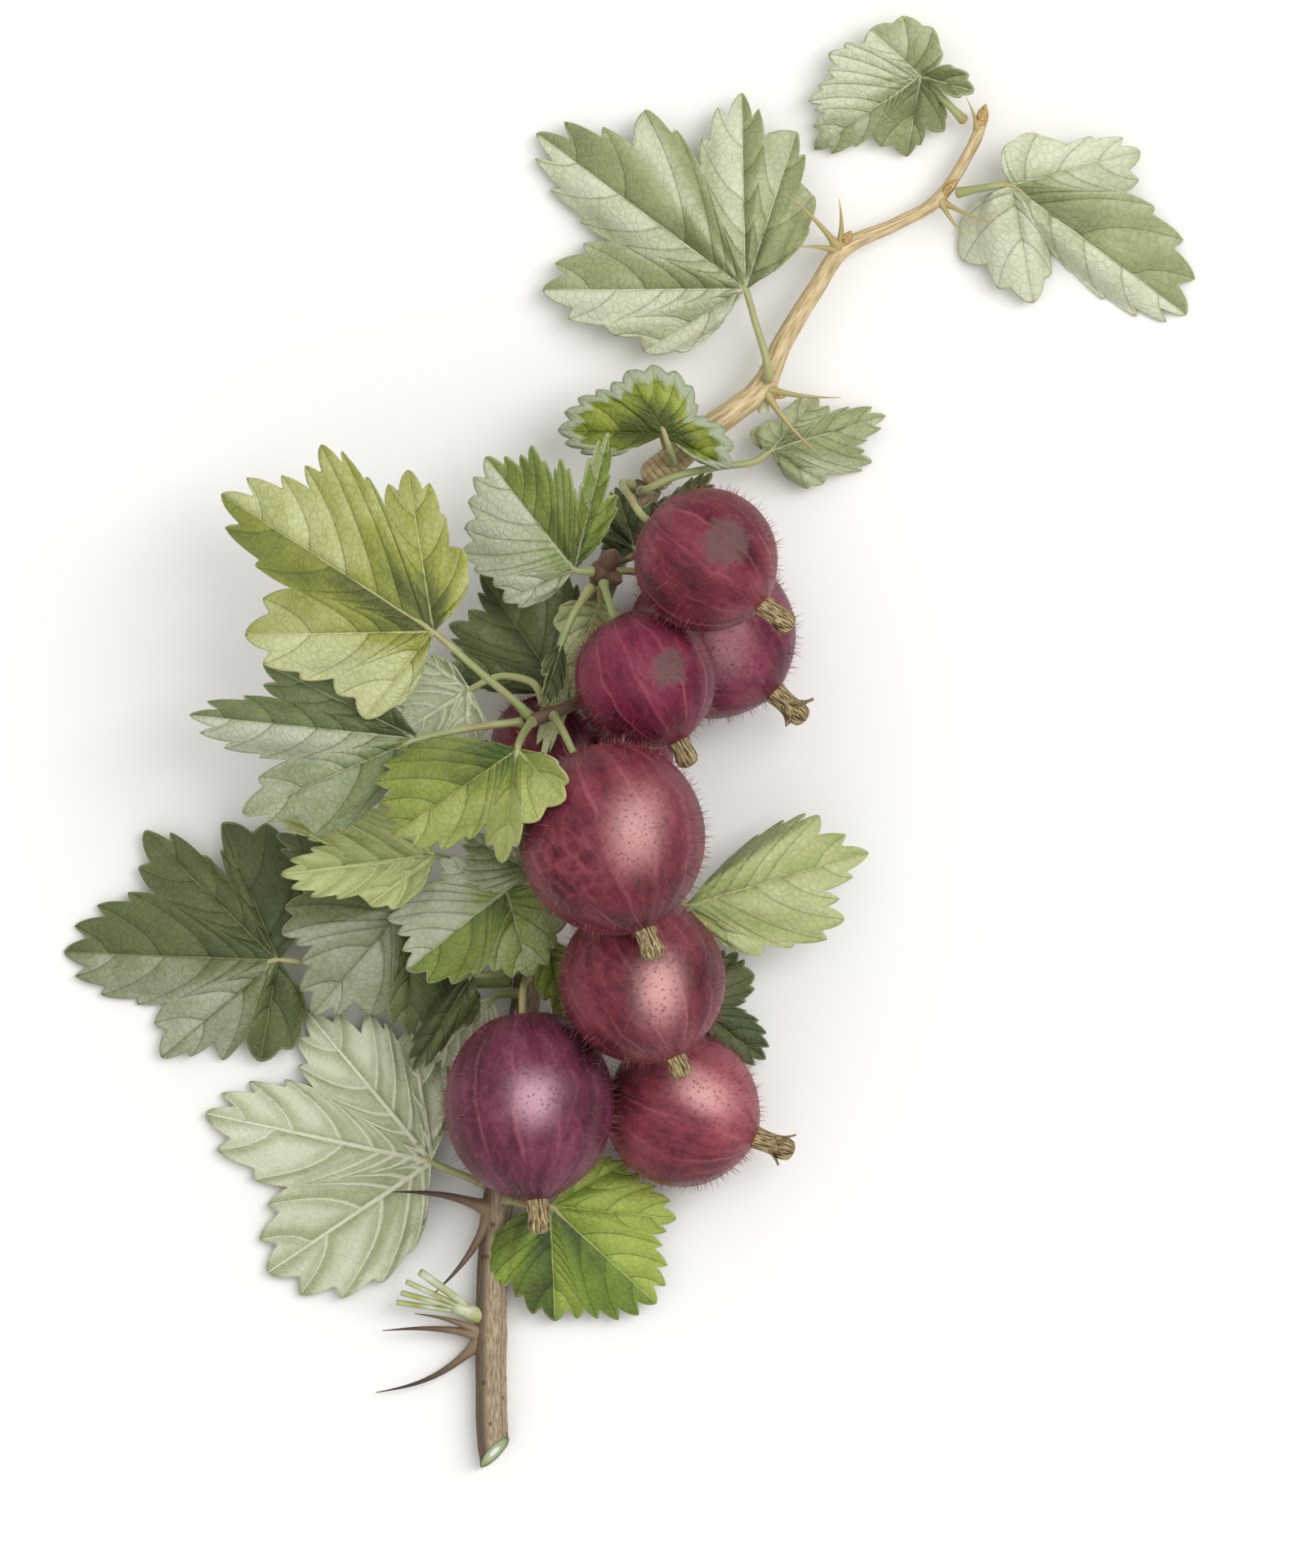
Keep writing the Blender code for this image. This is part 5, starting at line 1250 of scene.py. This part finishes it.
def make_old_wood():
    """Make the old wood with its oblique cut, its slight knots and its stretched bark."""
    route = smooth_route(OLD_WOOD, 16)
    sides = 56
    frames = frames_along(route)
    normal = Vector(CUT_NORMAL).normalized()
    cut = Vector(CUT_CENTRE)
    draws = random.Random(BARK_SEED)
    phases = [draws.uniform(0, 6.28) for _ in range(6)]
    verts, uvs, pith, shaded_side = [], [], [], []
    along = 0.0
    for i, ((place, way, side, up), point) in enumerate(zip(frames, route)):
        if i:
            along += (place - frames[i - 1][0]).length
        lump = sum(math.exp(-((along - k) / 1.8) ** 2) for k in KNOTS)
        for k in range(sides):
            turn = 2 * math.pi * k / sides
            rough = (0.012 * math.sin(5 * turn + phases[0] + 0.15 * along)
                     + 0.01 * math.sin(9 * turn + phases[1] - 0.22 * along)
                     + 0.008 * math.sin(3 * turn + phases[2] + 0.9 * along))
            reach = point[3] * (0.985 + rough + 0.06 * lump)
            spot = place + (side * math.cos(turn) + up * math.sin(turn)) * reach
            if along < CUT_LENGTH:
                slip = (cut - spot).dot(normal) / way.dot(normal)
                share = 1 - along / CUT_LENGTH
                spot += way * (slip + along) * share if i else way * slip
            verts.append(spot)
            uvs.append((turn, along))
            pith.append(1.2)
            # Painted shade: how far the place faces away from the main light, which stands off to
            # the right.
            shaded_side.append(-(side * math.cos(turn) + up * math.sin(turn)).x)
    faces = bands(len(route), sides)
    kinds = [0] * len(faces)
    faces.append(tuple(range((len(route) - 1) * sides, len(route) * sides)))
    kinds.append(0)
    middle = sum((verts[k] for k in range(sides)), Vector()) / sides
    rings = (0.93, 0.84, 0.62, 0.4, 0.2, 0.08)
    previous = list(range(sides))
    for share in rings:
        current = []
        for k in range(sides):
            current.append(len(verts))
            verts.append(middle + (verts[k] - middle) * share
                         - normal * (0.05 if share < 0.9 else 0.0))
            uvs.append((2 * math.pi * k / sides, share))
            pith.append(share)
            shaded_side.append(0.0)
        for k in range(sides):
            a, b = k, (k + 1) % sides
            faces.append((previous[b], previous[a], current[a], current[b]))
            kinds.append(1)
        previous = current
    faces.append(tuple(reversed(previous)))
    kinds.append(1)
    wood = new_piece("old_wood_bark", verts, faces,
                     (bark_material(), cut_material()), None, uvs,
                     {"from_pith": pith, "shaded_side": shaded_side}, kinds)
    return claim(wood, "old_wood")


def bark_material():
    """Make old bark: grey-brown, split along its length, with pale skin peeling and spots."""
    # Fibres run 2 mm along the wood and a seventh of a radian round it. Green patches are 7 mm
    # wide and the bark's spots 2 mm apart.
    material, tree, shader = new_material("old_bark", 0.8)
    surface = add_node(tree, "ShaderNodeUVMap", uv_map="surface")
    place = add_node(tree, "ShaderNodeTexCoord").outputs["Object"]
    fibre_map = add_node(tree, "ShaderNodeMapping", {0: surface.outputs[0], 3: (3.2, 0.22, 1.0)})
    fibres = add_node(tree, "ShaderNodeTexNoise",
                      {"Vector": fibre_map.outputs[0], "Scale": 2.2, "Detail": 6.0,
                       "Roughness": 0.65}).outputs[0]
    patch = add_node(tree, "ShaderNodeTexNoise",
                     {"Vector": place, "Scale": 0.15 / MM, "Detail": 4.0}).outputs[0]
    ramp = add_node(tree, "ShaderNodeValToRGB", {0: fibres}, stops=(
        (0.3, linear("5a4a3b")), (0.43, linear("937f66")), (0.58, linear("b5a488")),
        (0.75, linear("d0c5ab"))))
    # Painted shade darkens the side of the wood turned away from the main light, broken up by the
    # fibres.
    shaded_side = add_node(tree, "ShaderNodeAttribute", attribute_name="shaded_side").outputs[2]
    shaded_side = add_node(tree, "ShaderNodeMath", (fibres, 0.8, shaded_side),
                   operation="MULTIPLY_ADD").outputs[0]
    specks = add_node(tree, "ShaderNodeTexVoronoi",
                      {"Vector": place, "Scale": 0.48 / MM}).outputs[0]
    green, dark, dots = (
        add_node(tree, "ShaderNodeMapRange", (value, full, none, 1.0, 0.0),
                 interpolation_type="SMOOTHSTEP").outputs[0]
        for value, full, none in ((patch, 0.62, 0.5), (shaded_side, 1.05, 0.55), (specks, 0.14, 0.22)))
    colour = laid_over(tree, ramp.outputs[0], (
        (green, 0.45, "6f7448"), (dark, 0.8, "54412f"), (dots, 0.6, "3a2a1f")))
    tree.links.new(colour, shader.inputs["Base Color"])
    height = add_node(tree, "ShaderNodeMath", (dots, -0.3, fibres), operation="MULTIPLY_ADD")
    bump = add_node(tree, "ShaderNodeBump", {"Strength": 0.9, "Distance": 0.4 * MM,
                                             "Height": height.outputs[0]})
    tree.links.new(bump.outputs[0], shader.inputs["Normal"])
    return material


def cut_material():
    """Make the knife's cut: a white pith in damp green wood, with dark bark round it."""
    # The cut's grain is drawn at 1.1 mm, coarser than its pores, so that it shows.
    material, tree, shader = new_material("fresh_cut_wood", 0.6)
    share = add_node(tree, "ShaderNodeAttribute", attribute_name="from_pith").outputs[2]
    place = add_node(tree, "ShaderNodeTexCoord").outputs["Object"]
    grain = add_node(tree, "ShaderNodeTexNoise",
                     {"Vector": place, "Scale": 0.9 / MM, "Detail": 3.0})
    wobble = add_node(tree, "ShaderNodeMath", (grain.outputs[0], 0.08, share),
                      operation="MULTIPLY_ADD").outputs[0]
    ramp = add_node(tree, "ShaderNodeValToRGB", {0: wobble}, stops=(
        (0.3, linear("f1f1e8")), (0.42, linear("b4c196")), (0.66, linear("a3b183")),
        (0.86, linear("8a9c6a")), (0.95, linear("6f7f4c")), (1.0, linear("4d4a2a"))))
    tree.links.new(ramp.outputs[0], shader.inputs["Base Color"])
    return material


def make_young_shoot():
    """Make the young shoot, with wrinkled rings at its foot and a swelling at each bud."""
    route = smooth_route(YOUNG_SHOOT, 16)
    places = [Vector(p[:3]) for p in route]
    reaches = [0.0]
    for a, b in zip(places, places[1:]):
        reaches.append(reaches[-1] + (b - a).length)
    swells = []
    for x, y in SHOOT_BUDS:
        gaps = [math.hypot(p.x - x, p.y - y) for p in places]
        swells.append(reaches[gaps.index(min(gaps))])

    def knobby(turn, along):
        rings = 0.0
        if along < FOOT_LENGTH:
            rings = 0.085 * abs(math.sin(3.4 * along + 0.4 * math.sin(turn)))
            rings *= 1 - along / FOOT_LENGTH
        node = sum(math.exp(-((along - s) / 1.5) ** 2) for s in swells)
        return 0.985 + rings + 0.09 * node + 0.012 * math.sin(3 * turn + 0.4 * along)

    verts, faces, uvs = tube(route, 40, knobby)
    return new_piece("young_shoot_bark", verts, faces, (shoot_material(),), "young_shoot",
                     uvs)


def shoot_material():
    """Make young bark: smooth tan skin, streaked along its length with green and rust."""
    # Streaks are 3.5 mm long and a third of a radian wide; the foot's rings are 0.9 mm apart.
    material, tree, shader = new_material("young_bark", 0.55)
    surface = add_node(tree, "ShaderNodeUVMap", uv_map="surface")
    split = add_node(tree, "ShaderNodeSeparateXYZ", {0: surface.outputs[0]})
    streak_map = add_node(tree, "ShaderNodeMapping", {0: surface.outputs[0], 3: (1.4, 0.12, 1.0)})
    streaks = add_node(tree, "ShaderNodeTexNoise",
                       {"Vector": streak_map.outputs[0], "Scale": 2.4, "Detail": 5.0}).outputs[0]
    ramp = add_node(tree, "ShaderNodeValToRGB", {0: streaks}, stops=(
        (0.3, linear("957a50")), (0.5, linear("c3ad80")), (0.7, linear("ddcca4"))))
    along = split.outputs[1]
    wave = add_node(tree, "ShaderNodeMath", (along, 3.4), operation="MULTIPLY").outputs[0]
    wave = add_node(tree, "ShaderNodeMath", (wave,), operation="SINE").outputs[0]
    wave = add_node(tree, "ShaderNodeMath", (wave,), operation="ABSOLUTE").outputs[0]
    foot, ring = (
        add_node(tree, "ShaderNodeMapRange", (value, full, none, 1.0, 0.0),
                 interpolation_type="SMOOTHSTEP").outputs[0]
        for value, full, none in ((along, 5.0, FOOT_LENGTH), (wave, 0.1, 0.5)))
    ring = add_node(tree, "ShaderNodeMath", (ring, foot), operation="MULTIPLY").outputs[0]
    colour = laid_over(tree, ramp.outputs[0], ((foot, 0.4, "b09a73"), (ring, 0.6, "6b5236")))
    tree.links.new(colour, shader.inputs["Base Color"])
    bump = add_node(tree, "ShaderNodeBump", {"Strength": 0.5, "Distance": 0.2 * MM,
                                             "Height": streaks})
    tree.links.new(bump.outputs[0], shader.inputs["Normal"])
    return material


def spur_material():
    """Make a spur's bark: dark brown, ringed by old scale scars."""
    # Its patches are 2.4 mm wide.
    return patchy_material("spur_bark", 0.85, 0.42 / MM, 5.0, (
        (0.32, "43301f"), (0.5, "74593b"), (0.7, "a98c5f")), None, (0.8, 0.3 * MM))


def bud_material():
    """Make a bud's scales: dry tan skin, rust at the edges."""
    # Patches are half a millimetre long and two fifths of a radian wide.
    return patchy_material("bud_scales", 0.6, 2.4, 4.0, (
        (0.35, "846337"), (0.5, "b4935c"), (0.68, "d4b986")), (1.0, 0.8, 1.0))


def make_spur(name, path, node):
    """Make a spur, ringed like a stack of scars."""
    def ringed(turn, along):
        return 0.96 + 0.07 * abs(math.sin(2.6 * along + 0.4 * math.sin(turn))) ** 3

    verts, faces, uvs = tube(smooth_route(path, 14), 28, ringed)
    return new_piece(name, verts, faces, (spur_material(),), node, uvs)


def make_spine(foot, tip, radius, bow):
    """Work out one spine: slender, bowed and needle-sharp."""
    start, end = Vector(foot), Vector(tip)
    way = end - start
    side = way.cross(Vector((0, 0, 1))).normalized()
    route = []
    for step in range(13):
        t = step / 12
        place = start + way * t + side * bow * math.sin(math.pi * t)
        size = radius * (0.08 + 0.92 * (1 - t) ** 1.15) * (1 + 0.7 * max(0, 0.2 - t) / 0.2)
        route.append((*place, max(size, 0.05)))
    return tube(route, 10)


def spine_material(name, foot, middle, tip):
    """Make a spine: hard smooth skin that turns from one colour at its foot to its tip's."""
    # Its colour wavers in 1.4 mm and goes from the foot's to the tip's in 14 mm.
    material, tree, shader = new_material(name, 0.45)
    surface = add_node(tree, "ShaderNodeUVMap", uv_map="surface")
    split = add_node(tree, "ShaderNodeSeparateXYZ", {0: surface.outputs[0]})
    place = add_node(tree, "ShaderNodeTexCoord").outputs["Object"]
    streak = add_node(tree, "ShaderNodeTexNoise", {"Vector": place, "Scale": 0.7 / MM}).outputs[0]
    along = add_node(tree, "ShaderNodeMath", (split.outputs[1], 1 / 14),
                     operation="MULTIPLY").outputs[0]
    along = add_node(tree, "ShaderNodeMath", (along, 0.15), operation="SUBTRACT").outputs[0]
    along = add_node(tree, "ShaderNodeMath", (streak, 0.3, along),
                     operation="MULTIPLY_ADD").outputs[0]
    ramp = add_node(tree, "ShaderNodeValToRGB", {0: along}, stops=(
        (0.05, linear(foot)), (0.4, linear(middle)), (0.9, linear(tip))))
    tree.links.new(ramp.outputs[0], shader.inputs["Base Color"])
    return material


def make_bud(foot, tip, radius):
    """Work out one bud: a pointed egg of overlapping scales."""
    start, end = Vector(foot), Vector(tip)
    route = []
    for step in range(15):
        t = step / 14
        size = radius * max(0.12, math.sin(math.pi * (0.18 + 0.8 * t)) ** 0.8)
        size *= 1 + 0.07 * ((t * 4) % 1.0)
        route.append((*(start + (end - start) * t), size))
    return tube(route, 14)


def make_stub(foot, tip, foot_radius, tip_radius):
    """Work out one cut stalk: a straight peg with a flat end."""
    start, end = Vector(foot), Vector(tip)
    route = [(*(start + (end - start) * t), foot_radius + (tip_radius - foot_radius) * t)
             for t in (0.0, 0.2, 0.4, 0.6, 0.8, 0.97, 1.0)]
    return tube(route, 12, None, False)


def stub_material():
    """Make a cut stalk: pale grey-green, drying to straw."""
    # It dries in patches of about 4 mm.
    return patchy_material("cut_stalk", 0.6, 0.26 / MM, 3.0, (
        (0.35, "a3a45c"), (0.5, "b3b98f"), (0.65, "d0d2b8")))


# Hairs.

def bristle_tree():
    """Build the node tree that stands fine hairs on a surface."""
    tree = bpy.data.node_groups.new("fine_hairs", "GeometryNodeTree")
    face = tree.interface
    for name, kind in (("Surface", "Geometry"), ("Hairs per square metre", "Float"),
                       ("Length", "Float"), ("Radius", "Float"), ("Lean", "Float"),
                       ("Seed", "Int"), ("Material", "Material")):
        face.new_socket(name, in_out="INPUT", socket_type="NodeSocket" + kind)
    face.new_socket("Hairs", in_out="OUTPUT", socket_type="NodeSocketGeometry")
    given = add_node(tree, "NodeGroupInput").outputs
    spread = add_node(tree, "GeometryNodeDistributePointsOnFaces",
                      {"Mesh": given["Surface"], "Density": given["Hairs per square metre"],
                       "Seed": given["Seed"]})
    hair = add_node(tree, "GeometryNodeMeshCone",
                    {"Vertices": 3, "Side Segments": 1, "Radius Top": 0.0,
                     "Radius Bottom": given["Radius"], "Depth": given["Length"]},
                    fill_type="NGON")
    less = add_node(tree, "ShaderNodeMath", {0: 0.0, 1: given["Lean"]}, operation="SUBTRACT")
    low = add_node(tree, "ShaderNodeCombineXYZ", {0: less.outputs[0], 1: less.outputs[0],
                                                  2: 0.0})
    high = add_node(tree, "ShaderNodeCombineXYZ", {0: given["Lean"], 1: given["Lean"],
                                                   2: 2 * math.pi})
    lean = add_node(tree, "FunctionNodeRandomValue",
                    {0: low.outputs[0], 1: high.outputs[0], "Seed": given["Seed"]},
                    data_type="FLOAT_VECTOR")
    turned = add_node(tree, "FunctionNodeRotateRotation",
                      {0: spread.outputs["Rotation"], 1: lean.outputs[0]},
                      rotation_space="LOCAL")
    size = add_node(tree, "FunctionNodeRandomValue", {2: 0.45, 3: 1.0, "Seed": given["Seed"]},
                    data_type="FLOAT")
    hairs = add_node(tree, "GeometryNodeInstanceOnPoints",
                     {"Points": spread.outputs["Points"], "Instance": hair.outputs[0],
                      "Rotation": turned.outputs[0], "Scale": size.outputs[1]})
    real = add_node(tree, "GeometryNodeRealizeInstances", {0: hairs.outputs[0]})
    painted = add_node(tree, "GeometryNodeSetMaterial",
                       {"Geometry": real.outputs[0], "Material": given["Material"]})
    add_node(tree, "NodeGroupOutput", {0: painted.outputs[0]})
    return tree


def grow_hairs(name, sources, nodes, per_square_cm, length, radius, lean, seed, material):
    """Grow hairs over pieces and keep them as one plain mesh."""
    body = bmesh.new()
    for source in sources:
        body.from_mesh(source.data)
    low = [face for face in body.faces if face.calc_center_median().z < length]
    bmesh.ops.delete(body, geom=low, context="FACES")
    mesh = bpy.data.meshes.new(name)
    body.to_mesh(mesh)
    body.free()
    piece = bpy.data.objects.new(name, mesh)
    bpy.context.scene.collection.objects.link(piece)
    tree = bpy.data.node_groups.get("fine_hairs") or bristle_tree()
    growth = piece.modifiers.new("hairs", "NODES")
    growth.node_group = tree
    values = {"Hairs per square metre": per_square_cm * 10000.0, "Length": length,
              "Radius": radius, "Lean": lean, "Seed": seed, "Material": material}
    for socket in tree.interface.items_tree:
        if socket.name in values:
            growth[socket.identifier] = values[socket.name]
    plain_mesh(piece)
    return claim(piece, nodes)


def hair_material(name, hex_colour):
    """Make fine hairs: thin, dry and slightly shiny."""
    material, _, shader = new_material(name, 0.5)
    shader.inputs["Base Color"].default_value = linear(hex_colour)
    return material


# Settings.

class LeafSettings(bpy.types.PropertyGroup):
    """Sizes of the leaves."""
    thickness: FloatProperty(name="Thickness", description="Thickness of a blade",
                             default=0.3 * MM, unit="LENGTH", precision=5)
    vein_depth: FloatProperty(name="Vein depth", description="How deep the veins are sunk",
                              default=0.3 * MM, unit="LENGTH", precision=5)


class BerrySettings(bpy.types.PropertyGroup):
    """Number and length of the berries' hairs."""
    hairs: FloatProperty(name="Hairs", description="Hairs on each square centimetre",
                         default=60.0)
    hair_length: FloatProperty(name="Hair length", description="Length of the longest hairs",
                               default=1.8 * MM, unit="LENGTH", precision=5)


class WoodSettings(bpy.types.PropertyGroup):
    """Hairs on the young wood."""
    bristles: FloatProperty(name="Bristles", description="Bristles on each square centimetre",
                            default=30.0)


class StageSettings(bpy.types.PropertyGroup):
    """Table and light."""
    paper: FloatVectorProperty(name="Table", description="Colour of the table", size=4,
                               subtype="COLOR", default=linear("f3f2f0"))
    key_power: FloatProperty(name="Key light", description="Power of the main light", unit="POWER",
                             default=9.0)
    fill: FloatProperty(name="Fill", description="Strength of the light from all round",
                        default=0.79)


# Operators.

class GOOSEBERRY_OT_leaves(bpy.types.Operator):
    """Make every leaf: its blade and its stalk"""
    bl_idname = "gooseberry.leaves"
    bl_label = "Leaves"

    def execute(self, context):
        settings = context.scene.gooseberry_leaves
        for name, finish, half_lobe_light, mains, foot, stalk, wood, outline, rises in LEAVES:
            make_blade(name, finish, half_lobe_light, mains, foot, outline, rises, settings)
            make_leaf_stalk(name, foot, stalk, wood, outline, rises, LEAF_FINISHES[finish][4])
        return {"FINISHED"}


class GOOSEBERRY_OT_berries(bpy.types.Operator):
    """Make every berry: its skin, its stalk and its dried flower"""
    bl_idname = "gooseberry.berries"
    bl_label = "Berries"

    def execute(self, context):
        for number, centre, half_widths, flower_tip, stalk, wood, kind in BERRIES:
            make_berry_skin(number, centre, half_widths, flower_tip, kind)
            make_fruit_stalk(number, centre, half_widths, stalk, wood)
            make_dried_flower(number, centre, half_widths, flower_tip)
        return {"FINISHED"}


class GOOSEBERRY_OT_wood(bpy.types.Operator):
    """Make the old wood, the young shoot and the spurs"""
    bl_idname = "gooseberry.wood"
    bl_label = "Wood"

    def execute(self, context):
        make_old_wood()
        make_young_shoot()
        make_spur("fruit_spur_bark", FRUIT_SPUR, "fruit_spur")
        make_spur("leaf_spur_bark", LEAF_SPUR, "leaf_spur")
        return {"FINISHED"}


class GOOSEBERRY_OT_spines(bpy.types.Operator):
    """Make the spines, the buds and the cut stalks"""
    bl_idname = "gooseberry.spines"
    bl_label = "Spines and buds"

    def execute(self, context):
        old = spine_material("old_spine", "8b755b", "6a553f", "33271e")
        young = spine_material("young_spine", "a99a63", "b0a36f", "c2a273")
        stub, scales = stub_material(), bud_material()
        for limb, slot in (("old_wood", "old_wood"), ("young_shoot", "young_shoot"),
                           ("fruit_spur", "spur_bark")):
            spines = [make_spine(*row[1:]) for row in SPINES if row[0] == limb]
            stubs = [make_stub(*row[1:]) for row in STUBS if row[0] == limb]
            buds = [make_bud(*row[1:]) for row in BUDS if row[0] == limb]
            spine = old if limb == "old_wood" else young
            bud = scales if limb == "young_shoot" else spur_material()
            for name, parts, material in (("spines", spines, spine), ("cut_stalks", stubs, stub),
                                          ("buds", buds, bud)):
                if parts:
                    verts, faces, uvs = joined(parts)
                    new_piece(f"{limb}_{name}", verts, faces, (material,), limb, uvs)
        return {"FINISHED"}


class GOOSEBERRY_OT_hairs(bpy.types.Operator):
    """Grow the fine hairs on the berries, the stalks and the shoot"""
    bl_idname = "gooseberry.hairs"
    bl_label = "Hairs"

    def execute(self, context):
        berries = context.scene.gooseberry_berries
        wood = context.scene.gooseberry_wood
        things = bpy.data.objects
        grow_hairs("fruit_hairs", [things[f"berry_skin_{b[0]}"] for b in BERRIES],
                   [f"berry_{b[0]}" for b in BERRIES], berries.hairs,
                   berries.hair_length, FRUIT_HAIR_RADIUS * MM, FRUIT_HAIR_LEAN, FRUIT_HAIR_SEED,
                   hair_material("fruit_hair", "85504d"))
        grow_hairs("stalk_hairs", [things["leaf_stalk_" + leaf[0]] for leaf in LEAVES],
                   ["leaf_" + leaf[0] for leaf in LEAVES], STALK_HAIRS,
                   STALK_HAIR_LENGTH * MM, STALK_HAIR_RADIUS * MM, STALK_HAIR_LEAN,
                   STALK_HAIR_SEED, hair_material("stalk_hair", "c8bd94"))
        grow_hairs("shoot_hairs", [things["young_shoot_bark"]], "young_shoot",
                   wood.bristles, SHOOT_HAIR_LENGTH * MM, SHOOT_HAIR_RADIUS * MM,
                   SHOOT_HAIR_LEAN, SHOOT_HAIR_SEED, hair_material("shoot_hair", "8d7a63"))
        return {"FINISHED"}


class GOOSEBERRY_OT_stage(bpy.types.Operator):
    """Lay the pale table, hang the soft lights and set the camera"""
    bl_idname = "gooseberry.stage"
    bl_label = "Stage"

    def execute(self, context):
        settings = context.scene.gooseberry_stage
        material, _, shader = new_material("matt_pale_table", 0.95)
        shader.inputs["Base Color"].default_value = settings.paper[:]
        mesh = bpy.data.meshes.new("table")
        size, drop = TABLE_HALF * MM, TABLE_DROP * MM
        mesh.from_pydata([(-size, -size, -drop), (size, -size, -drop), (size, size, -drop),
                          (-size, size, -drop)], [], [(0, 1, 2, 3)])
        mesh.materials.append(material)
        table = bpy.data.objects.new("table", mesh)
        context.scene.collection.objects.link(table)
        world = bpy.data.worlds.new("soft_room")
        context.scene.world = world
        world.use_nodes = True
        room = world.node_tree
        way = add_node(room, "ShaderNodeTexCoord").outputs["Generated"]
        up = add_node(room, "ShaderNodeSeparateXYZ", {0: way}).outputs[2]
        ceiling = add_node(room, "ShaderNodeMapRange", {
            0: up, 1: 0.0, 2: 1.0, 3: settings.fill * 0.3, 4: settings.fill * 1.35})
        sky = room.nodes["Background"]
        sky.inputs["Color"].default_value = linear("fdfcfa")
        room.links.new(ceiling.outputs[0], sky.inputs["Strength"])
        context.scene.view_settings.view_transform = "Standard"
        context.scene.view_settings.look = "None"
        for name, place, power, width in (
                ("key_light", (0.62, 0.3, 1.1), settings.key_power, 0.55),
                ("side_light", (-0.7, 0.5, 0.9), settings.key_power * SIDE_LIGHT_SHARE, 0.8)):
            lamp = bpy.data.lights.new(name, "AREA")
            lamp.energy = power
            lamp.shape = "RECTANGLE"
            lamp.size = width
            lamp.size_y = width * 2
            thing = bpy.data.objects.new(name, lamp)
            thing.location = place
            thing.rotation_mode = "QUATERNION"
            thing.rotation_quaternion = (-Vector(place)).to_track_quat("-Z", "Y")
            context.scene.collection.objects.link(thing)
        camera = bpy.data.cameras.new("camera")
        camera.sensor_fit = "VERTICAL"
        camera.sensor_height = SENSOR
        camera.lens = SENSOR * CAMERA_DISTANCE / VIEW_HEIGHT
        camera.clip_end = 10.0
        thing = bpy.data.objects.new("camera", camera)
        x, y, z = VIEW_CENTRE
        thing.location = Vector((x, y, z + CAMERA_DISTANCE)) * MM
        context.scene.collection.objects.link(thing)
        context.scene.camera = thing
        return {"FINISHED"}


class GOOSEBERRY_PT_panel(bpy.types.Panel):
    """The branch's pieces and their settings"""
    bl_idname = "GOOSEBERRY_PT_panel"
    bl_label = "Gooseberry branch"
    bl_space_type = "VIEW_3D"
    bl_region_type = "UI"
    bl_category = "Gooseberry"

    def draw(self, context):
        for name, operators in (("gooseberry_wood", ("wood", "spines")),
                                ("gooseberry_leaves", ("leaves",)),
                                ("gooseberry_berries", ("berries", "hairs")),
                                ("gooseberry_stage", ("stage",))):
            box = self.layout.box()
            group = getattr(context.scene, name)
            for key in group.__annotations__:
                box.prop(group, key)
            for operator in operators:
                box.operator("gooseberry." + operator)


CLASSES = (LeafSettings, BerrySettings, WoodSettings, StageSettings, GOOSEBERRY_OT_leaves,
           GOOSEBERRY_OT_berries, GOOSEBERRY_OT_wood, GOOSEBERRY_OT_spines, GOOSEBERRY_OT_hairs,
           GOOSEBERRY_OT_stage, GOOSEBERRY_PT_panel)
GROUPS = {"gooseberry_leaves": LeafSettings, "gooseberry_berries": BerrySettings,
          "gooseberry_wood": WoodSettings, "gooseberry_stage": StageSettings}


def register():
    """Add the classes and the settings to Blender."""
    for item in CLASSES:
        bpy.utils.register_class(item)
    for name, group in GROUPS.items():
        setattr(bpy.types.Scene, name, PointerProperty(type=group))


def unregister():
    """Take the settings and the classes out of Blender."""
    for name in GROUPS:
        delattr(bpy.types.Scene, name)
    for item in reversed(CLASSES):
        bpy.utils.unregister_class(item)


def main():
    """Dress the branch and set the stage."""
    register()
    for operator in ("stage", "wood", "spines", "leaves", "berries", "hairs"):
        getattr(bpy.ops.gooseberry, operator)()
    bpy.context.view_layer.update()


if __name__ == "__main__":
    main()
